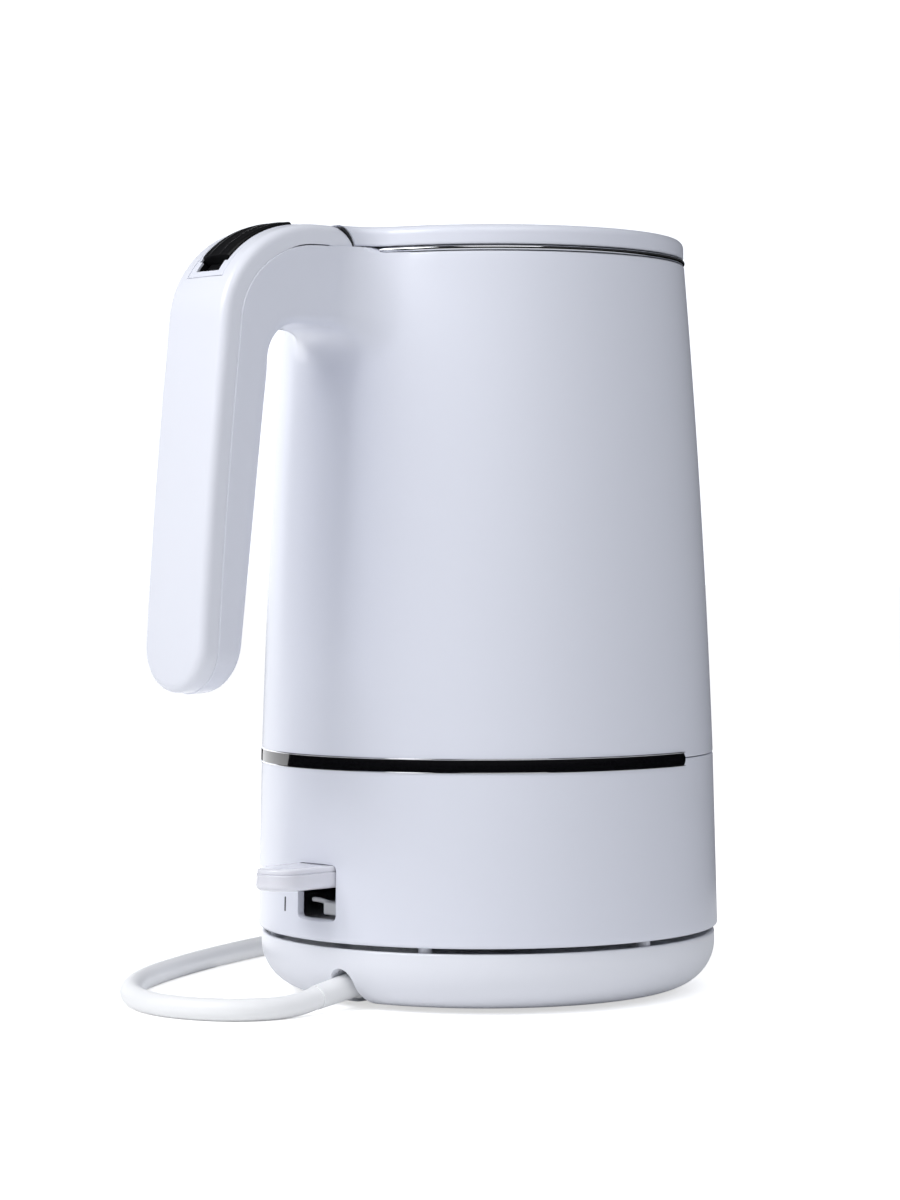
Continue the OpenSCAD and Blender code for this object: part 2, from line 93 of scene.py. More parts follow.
def grid_shell(points: Array, wrap_rows: bool = False, wrap_cols: bool = True) -> Shell:
    """Joins a grid of points into quads.

    Args:
        points: Array of rows x columns x 3.
        wrap_rows: Whether the last row joins the first.
        wrap_cols: Whether the last column joins the first.

    Returns:
        The quads between neighbouring rows and columns.
    """
    rows, cols = points.shape[:2]
    index = np.arange(rows * cols).reshape(rows, cols)
    if wrap_rows:
        index = np.vstack([index, index[:1]])
    if wrap_cols:
        index = np.hstack([index, index[:, :1]])
    quads = np.stack([index[:-1, :-1], index[:-1, 1:], index[1:, 1:], index[1:, :-1]], -1)
    return Shell(points.reshape(-1, 3), quads.reshape(-1, 4))


def capped(points: Array) -> Array:
    """Closes a tube: adds a row at each end of its grid, with every point at the middle of the row beside it."""
    first = np.repeat(points[:1].mean(1, keepdims=True), points.shape[1], 1)
    last = np.repeat(points[-1:].mean(1, keepdims=True), points.shape[1], 1)
    return np.concatenate([first, points, last])


def make_piece(name: str, shells: Sequence[Shell], sharp_deg: float = SHARP_DEG) -> bpy.types.Object:
    """Puts shells into one mesh object at the origin, welded, with faces outwards and smooth shading.

    Args:
        name: Name of the piece.
        shells: Its surfaces.
        sharp_deg: Edges that turn more than this stay sharp.

    Returns:
        The new object.
    """
    starts = np.cumsum([0] + [len(s.points) for s in shells[:-1]])
    points = np.concatenate([s.points for s in shells]) * MM
    faces = np.concatenate([s.faces + start for s, start in zip(shells, starts)])
    mesh = bpy.data.meshes.new(name)
    mesh.from_pydata(points.tolist(), [], faces.tolist())
    bm = bmesh.new()
    bm.from_mesh(mesh)
    bmesh.ops.remove_doubles(bm, verts=bm.verts, dist=2e-6)
    bmesh.ops.dissolve_degenerate(bm, edges=bm.edges, dist=1e-6)
    bmesh.ops.recalc_face_normals(bm, faces=bm.faces)
    bm.to_mesh(mesh)
    bm.free()
    return shaded(place(name, mesh), sharp_deg)


def place(name: str, mesh: bpy.types.Mesh) -> bpy.types.Object:
    """Links a mesh to the scene as an object at the origin."""
    piece = bpy.data.objects.new(name, mesh)
    bpy.context.scene.collection.objects.link(piece)
    return piece


def shaded(piece: bpy.types.Object, sharp_deg: float = SHARP_DEG) -> bpy.types.Object:
    """Shades a piece smooth, apart from edges that turn more than the angle."""
    piece.data.shade_smooth()
    piece.data.set_sharp_from_angle(angle=math.radians(sharp_deg))
    return piece


def combine(piece: bpy.types.Object, operation: str, *shells: Shell) -> None:
    """Joins closed shells to a piece, or cuts them from it.

    The solver needs closed surfaces. Where the piece or a shell has open edges it only prints a warning, and the
    piece stays as it was. This happens at 15 steps: see Casing, Cover, Lid and SwitchSet.

    Args:
        piece: The object that is changed.
        operation: "UNION" or "DIFFERENCE".
        *shells: The closed surfaces.
    """
    for shell in shells:
        other = make_piece("tool", [shell])
        step = piece.modifiers.new("solid", "BOOLEAN")
        step.solver = "MANIFOLD"
        step.operation = operation
        step.object = other
        bpy.context.view_layer.update()
        made = bpy.data.meshes.new_from_object(piece.evaluated_get(bpy.context.evaluated_depsgraph_get()))
        piece.modifiers.clear()
        if not made.polygons:
            raise RuntimeError(f"{operation} left nothing of {piece.name}")
        old, piece.data = piece.data, made
        bpy.data.meshes.remove(old)
        bpy.data.objects.remove(other)
    bm = bmesh.new()
    bm.from_mesh(piece.data)
    bmesh.ops.remove_doubles(bm, verts=bm.verts, dist=2e-6)
    bmesh.ops.dissolve_degenerate(bm, edges=bm.edges, dist=1e-6)
    bm.to_mesh(piece.data)
    bm.free()
    piece.data.name = piece.name
    shaded(piece)


# ---------------------------------------------------------------- curves


def soften(corners: Array, radii: Sequence[float], steps: int = 6, closed: bool = True) -> Array:
    """Rounds the corners of a polygon.

    Each corner becomes the exact arc of its radius, as a rational quadratic with the corner as control point and
    the cosine of half the turn as that point's weight.

    Args:
        corners: Corner points, n x 2.
        radii: Radius at each corner; 0 leaves it sharp.
        steps: Points along each arc.
        closed: Whether the last corner joins the first. An open line keeps its two end points.

    Returns:
        The points of the rounded line.
    """
    before, after = np.roll(corners, 1, 0), np.roll(corners, -1, 0)
    inward, outward = corners - before, after - corners
    inward = inward / np.maximum(np.linalg.norm(inward, axis=1, keepdims=True), 1e-9)
    outward = outward / np.maximum(np.linalg.norm(outward, axis=1, keepdims=True), 1e-9)
    turn = np.arccos(np.clip((inward * outward).sum(1), -1, 1))
    reach = (np.asarray(radii, float) * np.tan(turn / 2))[:, None]
    weight = np.cos(turn / 2)[:, None, None]
    s = np.linspace(0, 1, steps)[None, :, None]
    ends = (corners - inward * reach)[:, None], (corners + outward * reach)[:, None]
    middle = corners[:, None] * weight
    top = (1 - s) ** 2 * ends[0] + 2 * s * (1 - s) * middle + s**2 * ends[1]
    arcs = top / ((1 - s) ** 2 + 2 * s * (1 - s) * weight + s**2)
    line = arcs.reshape(-1, 2)
    if not closed:
        line = np.concatenate([corners[:1], arcs[1:-1].reshape(-1, 2), corners[-1:]])
    step = np.linalg.norm(np.diff(line, axis=0), axis=1)
    return line[np.concatenate([[True], step > 1e-4])]


def spaced(line: Array, spacing: float, closed: bool = True) -> Array:
    """Adds points to the long stretches of a line, so that none is longer than the spacing."""
    ends = np.concatenate([line, line[:1]]) if closed else line
    parts = [
        a + (b - a) * np.linspace(
            0, 1, max(1, math.ceil(float(np.linalg.norm(b - a)) / spacing)), endpoint=False,
        )[:, None]
        for a, b in zip(ends[:-1], ends[1:])
    ]
    return np.concatenate(parts + ([] if closed else [ends[-1:]]))


def arc(centre: Sequence[float], radius: float, start_deg: float, end_deg: float, steps: int) -> Array:
    """Points of a circular arc from one angle to another."""
    angle = np.radians(np.linspace(start_deg, end_deg, steps))
    return np.stack([centre[0] + radius * np.cos(angle), centre[1] + radius * np.sin(angle)], -1)


def averaged(points: Array, half: int) -> Array:
    """Smooths a line by a raised-cosine average over half points to each side, and straight on past its ends."""
    start = 2 * points[0] - points[half:0:-1]
    end = 2 * points[-1] - points[-2 : -half - 2 : -1]
    padded = np.concatenate([start, points, end])
    kernel = np.hanning(2 * half + 3)[1:-1]
    kernel /= kernel.sum()
    return np.stack([np.convolve(padded[:, i], kernel, "valid") for i in range(points.shape[1])], -1)


def spline(points: Array, per_span: int) -> Array:
    """Catmull-Rom line through points: the end slopes of each span are half the chords of its neighbours."""
    p = np.concatenate([points[:1] * 2 - points[1:2], points, points[-1:] * 2 - points[-2:-1]])
    a, b, c, d = (p[i : len(p) - 3 + i, None] for i in range(4))
    t = np.linspace(0, 1, per_span, endpoint=False)[None, :, None]
    spans = 0.5 * (2 * b + (c - a) * t + (2 * a - 5 * b + 4 * c - d) * t**2 + (3 * b - a - 3 * c + d) * t**3)
    return np.concatenate([spans.reshape(-1, points.shape[1]), points[-1:]])


def headings(line: Array, closed: bool = True) -> Array:
    """Unit vectors along a line at its points. The last point of a closed line joins the first."""
    along = np.roll(line, -1, 0) - np.roll(line, 1, 0) if closed else np.gradient(line, axis=0)
    return along / np.linalg.norm(along, axis=1, keepdims=True)


def turning(angle_deg: float) -> Array:
    """Matrix that turns row vectors about Z."""
    c, s = math.cos(math.radians(angle_deg)), math.sin(math.radians(angle_deg))
    return np.array([[c, s, 0], [-s, c, 0], [0, 0, 1]])


# ---------------------------------------------------------------- solids


def turned(profile: Array, segments: int = 192, start_deg: float = 0.0) -> Shell:
    """Turns a closed (r, z) profile round the jug's axis: x = r cos a, y = r sin a."""
    angle = np.radians(start_deg) + np.linspace(0, 2 * np.pi, segments, endpoint=False)[:, None]
    points = np.stack(
        [profile[:, 0] * np.cos(angle), profile[:, 0] * np.sin(angle), profile[:, 1] + 0 * angle], -1,
    )
    return grid_shell(points, wrap_rows=True)


def tube(path: Array, radii: Array, sides: int = 20) -> Shell:
    """Round tube: a circle in the plane across the path at each of its points, closed at both ends."""
    along = headings(path, False)
    side = np.cross(np.array([0.0, 0.0, 1.0]), along)
    side /= np.linalg.norm(side, axis=1, keepdims=True)
    up = np.cross(along, side)
    angle = np.linspace(0, 2 * np.pi, sides, endpoint=False)[None, :, None]
    circle = np.cos(angle) * side[:, None] + np.sin(angle) * up[:, None]
    return grid_shell(capped(path[:, None] + np.reshape(radii, (-1, 1, 1)) * circle))


def plate(outline: Array, low: float, high: float, edge_low: float, edge_high: float) -> Shell:
    """Plate with rounded edges over a star-shaped outline in (u, z), with its heights along Y.

    The outline is drawn in by 1 - cos b times the edge radius while the height rises by sin b times it, at both
    faces, and each face closes to the outline's middle.

    Args:
        outline: Closed line in the plate's plane, n x 2.
        low: Height of the lower face.
        high: Height of the upper face.
        edge_low: Radius of the lower edge.
        edge_high: Radius of the upper edge.

    Returns:
        The closed surface.
    """
    along = headings(outline)
    area = np.sum(outline[:, 0] * np.roll(outline[:, 1], -1) - np.roll(outline[:, 0], -1) * outline[:, 1])
    inward = np.stack([-along[:, 1], along[:, 0]], -1) * np.sign(area)
    b = np.linspace(0, np.pi / 2, 7)
    inset = np.concatenate([edge_low * (1 - np.sin(b)), edge_high * (1 - np.cos(b))])
    height = np.concatenate([low + edge_low * (1 - np.cos(b)), high - edge_high * (1 - np.sin(b))])
    flat = outline[None] + inward[None] * inset[:, None, None]
    tall = np.broadcast_to(height[:, None], flat.shape[:2])
    return grid_shell(capped(np.stack([-flat[..., 0], tall, flat[..., 1]], -1)))


def bar(u0: float, u1: float, z0: float, z1: float, y0: float, y1: float, edge: float = 0.4) -> Shell:
    """Block with rounded edges, given by its limits in u, z and y. Most of them come out with some open edges."""
    corners = np.array([[u0, z0], [u1, z0], [u1, z1], [u0, z1]])
    return plate(soften(corners, [edge] * 4), y0, y1, edge, edge)


def rod(u: float, z: float, radius: float, y0: float, y1: float, edge: float = 0.3) -> Shell:
    """Round rod along Y through (u, z)."""
    return plate(arc((u, z), radius, 0, 350, 36), y0, y1, edge, edge)


# ---------------------------------------------------------------- finishes


def new_group(name: str, inputs: Sequence[tuple[str, float]], outputs: Sequence[str]) -> bpy.types.NodeTree:
    """Makes an empty shader node group with float inputs and float outputs."""
    tree = bpy.data.node_groups.new(name, "ShaderNodeTree")
    for label, value in inputs:
        tree.interface.new_socket(label, in_out="INPUT", socket_type="NodeSocketFloat").default_value = value
    for label in outputs:
        tree.interface.new_socket(label, in_out="OUTPUT", socket_type="NodeSocketFloat")
    return tree


class Wiring:
    """Adds and links nodes in one node tree."""

    def __init__(self, tree: bpy.types.NodeTree) -> None:
        """Keeps the tree."""
        self.tree = tree

    def add(self, kind: str, **settings: object) -> bpy.types.Node:
        """Adds a node, with its properties set by name."""
        node = self.tree.nodes.new(kind)
        for key, value in settings.items():
            setattr(node, key, value)
        return node

    def link(self, source: bpy.types.NodeSocket, target: bpy.types.NodeSocket) -> None:
        """Links one socket to another."""
        self.tree.links.new(source, target)

    def math(self, operation: str, a: object, b: object = 0.0, clamp: bool = False) -> bpy.types.NodeSocket:
        """Adds a Math node whose inputs are sockets or numbers, and returns its result."""
        node = self.add("ShaderNodeMath", operation=operation, use_clamp=clamp)
        for socket, value in zip(node.inputs, (a, b)):
            if isinstance(value, bpy.types.NodeSocket):
                self.link(value, socket)
            else:
                socket.default_value = value
        return node.outputs[0]

    def noise(
        self, scale: object, detail: float = 2.0, stretch: tuple[float, float, float] | None = None,
    ) -> bpy.types.NodeSocket:
        """Adds noise on Object coordinates, stretched if wanted, and returns its factor."""
        place_at = self.add("ShaderNodeTexCoord").outputs["Object"]
        if stretch is not None:
            mapping = self.add("ShaderNodeMapping")
            mapping.inputs["Scale"].default_value = stretch
            self.link(place_at, mapping.inputs["Vector"])
            place_at = mapping.outputs["Vector"]
        node = self.add("ShaderNodeTexNoise")
        node.inputs["Detail"].default_value = detail
        self.link(place_at, node.inputs["Vector"])
        if isinstance(scale, bpy.types.NodeSocket):
            self.link(scale, node.inputs["Scale"])
        else:
            node.inputs["Scale"].default_value = scale
        return node.outputs["Fac"]


class Effects:
    """Shader node groups that the finishes share. Each is built once."""

    def __init__(self) -> None:
        """Builds the groups."""
        self.grain = self._grain()
        self.wear = self._wear()
        self.brush = self._brush()
        self.dust = self._dust()

    @staticmethod
    def _grain() -> bpy.types.NodeTree:
        """Moulded surface: fine orange peel for height, and slow clouds for tone and gloss."""
        tree = new_group("moulding_grain", [("Scale", 900.0), ("Cloud", 14.0)], ["Height", "Tone", "Gloss"])
        w = Wiring(tree)
        source, out = w.add("NodeGroupInput"), w.add("NodeGroupOutput")
        fine = w.noise(source.outputs["Scale"], 3.0)
        peel = w.noise(w.math("MULTIPLY", source.outputs["Scale"], 0.18), 2.0)
        cloud = w.noise(source.outputs["Cloud"], 4.0)
        w.link(
            w.math("ADD", w.math("MULTIPLY", fine, 0.35), w.math("MULTIPLY", peel, 0.65)),
            out.inputs["Height"],
        )
        w.link(cloud, out.inputs["Tone"])
        w.link(
            w.math("ADD", w.math("MULTIPLY", cloud, 0.6), w.math("MULTIPLY", peel, 0.4)), out.inputs["Gloss"],
        )
        return tree

    @staticmethod
    def _wear() -> bpy.types.NodeTree:
        """Rubbed edges: where the surface turns outwards sharply, broken up by noise."""
        tree = new_group("rubbed_edges", [("Gain", 9.0), ("Break Up", 160.0)], ["Mask"])
        w = Wiring(tree)
        source, out = w.add("NodeGroupInput"), w.add("NodeGroupOutput")
        turned_out = w.math("SUBTRACT", w.add("ShaderNodeNewGeometry").outputs["Pointiness"], 0.52)
        edge = w.math("MULTIPLY", turned_out, source.outputs["Gain"], clamp=True)
        w.link(
            w.math(
                "MULTIPLY", edge, w.noise(source.outputs["Break Up"], 3.0), clamp=True,
            ), out.inputs["Mask"],
        )
        return tree

    @staticmethod
    def _brush() -> bpy.types.NodeTree:
        """Brushed metal: noise stretched along the jug's height, so that its lines run round it."""
        tree = new_group("brush_lines", [("Scale", 30.0)], ["Height", "Gloss"])
        w = Wiring(tree)
        source, out = w.add("NodeGroupInput"), w.add("NodeGroupOutput")
        lines = w.noise(source.outputs["Scale"], 4.0, (1.0, 1.0, 60.0))
        w.link(lines, out.inputs["Height"])
        w.link(lines, out.inputs["Gloss"])
        return tree

    @staticmethod
    def _dust() -> bpy.types.NodeTree:
        """Handling marks: a soft speckle, strongest on faces that look up."""
        tree = new_group("faint_dust", [("Speckle", 420.0)], ["Mask"])
        w = Wiring(tree)
        source, out = w.add("NodeGroupInput"), w.add("NodeGroupOutput")
        parts = w.add("ShaderNodeSeparateXYZ")
        w.link(w.add("ShaderNodeNewGeometry").outputs["Normal"], parts.inputs[0])
        upward = w.math("ADD", w.math("MULTIPLY", parts.outputs["Z"], 0.6, clamp=True), 0.25)
        speckle = w.math(
            "MULTIPLY", w.math("SUBTRACT", w.noise(source.outputs["Speckle"], 5.0), 0.55), 5.0, clamp=True,
        )
        w.link(w.math("MULTIPLY", upward, speckle, clamp=True), out.inputs["Mask"])
        return tree


@dataclass(frozen=True)
class Finish:
    """A moulded, metal or rubber finish.

    tone is how much slow clouds darken the colour, grain the height of the surface grain in metres, spread how much
    the clouds change the roughness, and wear how far rubbed edges go to the worn colour.
    """

    name: str
    color: tuple[float, float, float]
    roughness: float
    tone: float = 0.02
    grain: float = 0.00001
    grain_scale: float = 900.0
    spread: float = 0.05
    metallic: float = 0.0
    coat: float = 0.0
    coat_roughness: float = 0.06
    specular: float = 0.5
    worn: tuple[float, float, float] | None = None
    wear: float = 0.3
    brushed: bool = False
    dusty: float = 0.02
    subsurface: float = 0.0
    transmission: float = 0.0
    ior: float = 1.48

    def material(self, effects: Effects) -> bpy.types.Material:
        """Builds the node material, or returns the one that exists.

        Args:
            effects: The shared node groups.

        Returns:
            The material.
        """
        found = bpy.data.materials.get(self.name)
        if found is not None:
            return found
        made = bpy.data.materials.new(self.name)
        made.use_nodes = True
        made.diffuse_color = (*self.color, 1.0)
        tree = made.node_tree
        shader = next(n for n in tree.nodes if n.type == "BSDF_PRINCIPLED")
        w = Wiring(tree)
        grain = w.add("ShaderNodeGroup", node_tree=effects.grain)
        grain.inputs["Scale"].default_value = self.grain_scale
        height, gloss = grain.outputs["Height"], grain.outputs["Gloss"]
        if self.brushed:
            brush = w.add("ShaderNodeGroup", node_tree=effects.brush)
            height, gloss = brush.outputs["Height"], brush.outputs["Gloss"]
        colour = self._mixed(
            w, self.color, tuple(c * (1 - self.tone) for c in self.color), grain.outputs["Tone"],
        )
        dust = w.add("ShaderNodeGroup", node_tree=effects.dust)
        dust_mask = w.math("MULTIPLY", dust.outputs["Mask"], self.dusty)
        colour = self._mixed(w, colour, (0.62, 0.6, 0.58), dust_mask)
        wear = w.add("ShaderNodeGroup", node_tree=effects.wear)
        wear_mask = w.math("MULTIPLY", wear.outputs["Mask"], self.wear, clamp=True)
        worn = self.worn or tuple(min(1.0, c * 1.05 + 0.01) for c in self.color)
        colour = self._mixed(w, colour, worn, wear_mask)
        w.link(colour, shader.inputs["Base Color"])
        rough = w.math("ADD", self.roughness - self.spread / 2, w.math("MULTIPLY", gloss, self.spread))
        rough = w.math(
            "ADD", rough, w.math("MULTIPLY", w.math("ADD", dust_mask, wear_mask), 0.25), clamp=True,
        )
        w.link(rough, shader.inputs["Roughness"])
        bump = w.add("ShaderNodeBump")
        bump.inputs["Distance"].default_value = self.grain
        w.link(height, bump.inputs["Height"])
        w.link(bump.outputs["Normal"], shader.inputs["Normal"])
        shader.inputs["Metallic"].default_value = self.metallic
        shader.inputs["Coat Weight"].default_value = self.coat
        shader.inputs["Coat Roughness"].default_value = self.coat_roughness
        shader.inputs["Specular IOR Level"].default_value = self.specular
        shader.inputs["IOR"].default_value = self.ior
        shader.inputs["Transmission Weight"].default_value = self.transmission
        shader.inputs["Subsurface Weight"].default_value = self.subsurface
        if self.subsurface:
            shader.inputs["Subsurface Scale"].default_value = 0.002
            shader.inputs["Subsurface Radius"].default_value = (1.0, 1.0, 1.0)
        return made

    @staticmethod
    def _mixed(
        w: Wiring, a: object, b: tuple[float, float, float], factor: bpy.types.NodeSocket,
    ) -> bpy.types.NodeSocket:
        """Adds a colour mix from a to b by a factor socket, and returns its result."""
        mix = w.add("ShaderNodeMix", data_type="RGBA")
        w.link(factor, mix.inputs["Factor"])
        if isinstance(a, bpy.types.NodeSocket):
            w.link(a, mix.inputs[6])
        else:
            mix.inputs[6].default_value = (*a, 1.0)
        mix.inputs[7].default_value = (*b, 1.0)
        return mix.outputs[2]


WHITE = Finish(
    "white_moulding", (0.765, 0.785, 0.87), 0.36, grain=6e-6, coat=0.35, coat_roughness=0.22, spread=0.06,
)
BASE_WHITE = Finish(
    "base_moulding", (0.835, 0.85, 0.91), 0.36, grain=6e-6, coat=0.3, coat_roughness=0.22, spread=0.06,
)
# Lighter copy of the white moulding, used on the handle cover only: painted light on the cover's lit back.
COVER_WHITE_LIT = Finish(
    "cover_moulding_painted_light", (0.795, 0.812, 0.885), 0.36, grain=6e-6, coat=0.35, coat_roughness=0.22, spread=0.06,
)
LEVER_MILK = Finish(
    "milky_lever", (0.8, 0.8, 0.86), 0.2, tone=0.05, grain=4e-6, coat=0.7, coat_roughness=0.08,
    subsurface=0.4, spread=0.05,
)
GLOSS_BLACK = Finish(
    "gloss_black", (0.004, 0.004, 0.005), 0.06, grain=5e-7, ior=1.75, coat=0.3, coat_roughness=0.03,
    spread=0.03, worn=(0.05, 0.05, 0.055), wear=0.15, dusty=0.004,
)
KEY_BLACK = Finish(
    "key_black", (0.006, 0.006, 0.007), 0.3, grain=6e-6, spread=0.08, specular=0.45, worn=(0.08, 0.08, 0.085),
    wear=0.4, dusty=0.006,
)
# Black for the button's well only: painted shade in the recess under the button.
SATIN_SHADE_BLACK = Finish(
    "satin_black_painted_shade", (0.006, 0.006, 0.007), 0.45, grain=1e-5, spread=0.1, specular=0.3,
    worn=(0.05, 0.05, 0.055), wear=0.3, dusty=0.004,
)
DARK = Finish("dark_moulding", (0.035, 0.036, 0.04), 0.5, grain=2e-5, spread=0.1, worn=(0.1, 0.1, 0.1))
GREY = Finish("grey_moulding", (0.42, 0.43, 0.45), 0.42, grain=1e-5, spread=0.08)
PALE_GREY = Finish("pale_grey_moulding", (0.62, 0.63, 0.65), 0.4, grain=1e-5, spread=0.08)
CHROME = Finish(
    "polished_chrome", (0.72, 0.73, 0.76), 0.07, tone=0.01, grain=1e-6, spread=0.04, metallic=1.0, wear=0.1,
)
STEEL = Finish(
    "brushed_stainless", (0.58, 0.58, 0.59), 0.3, grain=6e-6, spread=0.16, metallic=1.0, brushed=True,
    wear=0.1,
)
ZINC = Finish("zinc_screw", (0.55, 0.56, 0.58), 0.34, grain=6e-6, spread=0.12, metallic=1.0, tone=0.1)
BRASS = Finish("bright_brass", (0.72, 0.55, 0.24), 0.25, grain=4e-6, spread=0.1, metallic=1.0, tone=0.08)
ALLOY = Finish(
    "cast_alloy", (0.5, 0.5, 0.51), 0.46, grain=3e-5, grain_scale=500, spread=0.14, metallic=1.0, tone=0.08,
)
SILICONE = Finish("silicone_rubber", (0.72, 0.73, 0.75), 0.6, grain=1e-5, spread=0.06)
CORD_WHITE = Finish("cord_sheath", (0.93, 0.935, 0.945), 0.42, grain=2e-5, grain_scale=1400, spread=0.08)
AMBER = Finish("amber_lens", (0.85, 0.42, 0.1), 0.12, grain=1e-6, transmission=0.6)
PRINT = Finish("printed_ink", (0.015, 0.015, 0.02), 0.5, grain=3e-6, dusty=0.0)


class Workshop:
    """Dresses pieces and carried frame nodes, hangs each piece on the empty of the body that it rides on, and hides
    the frame nodes that it stands for.
    """

    def __init__(self) -> None:
        """Builds the shared effects."""
        self.effects = Effects()

    def dress(self, piece: bpy.types.Object, finish: Finish) -> None:
        """Gives a piece one finish all over."""
        piece.data.materials.clear()
        piece.data.materials.append(finish.material(self.effects))

    def fit(
        self, piece: bpy.types.Object, body: str, slot: Slot, finish: Finish, *nodes: str
    ) -> bpy.types.Object:
        """Dresses a piece and fits it to its body.

        Args:
            piece: The finished mesh object.
            body: The frame body that it rides on.
            slot: Not used.
            finish: Its finish.
            *nodes: The frame nodes that it stands for.

        Returns:
            The piece.
        """
        self.dress(piece, finish)
        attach(piece, body)
        if nodes:
            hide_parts(*nodes)
        log.info("%s: %d faces on %s", piece.name, len(piece.data.polygons), body)
        return piece


# ---------------------------------------------------------------- shared forms


@dataclass(frozen=True)
class WallForm:
    """The outer wall of the jug: two straight tapers, the upper one slightly bulged, and a beak at the front."""

    foot_r: float = 74.3
    band_r: float = 72.9
    rim_r: float = 64.1
    bulge: float = 0.85
    foot_z: float = 21.2
    casing_z: float = 78.7
    rim_z: float = 232.8
    beak_low_z: float = 199.0
    beak_high_z: float = 231.0
    beak_low_u: float = 63.6
    beak_high_u: float = 77.4
    beak_deg: float = 51.0
    beak_blend: float = 3.5

    def radius(self, z: Array) -> Array:
        """Radius at height z: a line from foot to band, then one to the rim plus a parabola of height bulge."""
        k = (z - self.casing_z) / (self.rim_z - self.casing_z)
        upper = self.band_r + (self.rim_r - self.band_r) * k + 4 * self.bulge * k * (1 - k)
        lower = self.foot_r + (self.band_r - self.foot_r) * (z - self.foot_z) / (self.casing_z - self.foot_z)
        return np.where(z < self.casing_z, lower, upper)

    def beaked(self, angle: Array, z: Array) -> Array:
        """Radius with the beak: the smooth maximum of the wall and of a V whose ridge leans outwards with height.

        The V is u sin s + |y| cos s = ridge sin s, with s half of its angle, and its ridge is rounded by adding a
        small constant under the root of the angle squared.
        """
        wall = self.radius(z)
        k = np.clip((z - self.beak_low_z) / (self.beak_high_z - self.beak_low_z), -0.4, 1.1)
        ridge = self.beak_low_u + (self.beak_high_u - self.beak_low_u) * k
        half = math.radians(self.beak_deg)
        around = np.sqrt(((angle + np.pi) % (2 * np.pi) - np.pi) ** 2 + 0.03**2) - 0.03
        past = np.maximum(around + half - np.pi / 2, 0)
        vee = ridge * math.sin(half) / np.sin(np.minimum(half + around, np.pi / 2)) - 40 * past
        gap = np.clip((self.beak_blend - np.abs(vee - wall)) / self.beak_blend, 0, 1)
        return np.maximum(vee, wall) + gap**2 * self.beak_blend / 4


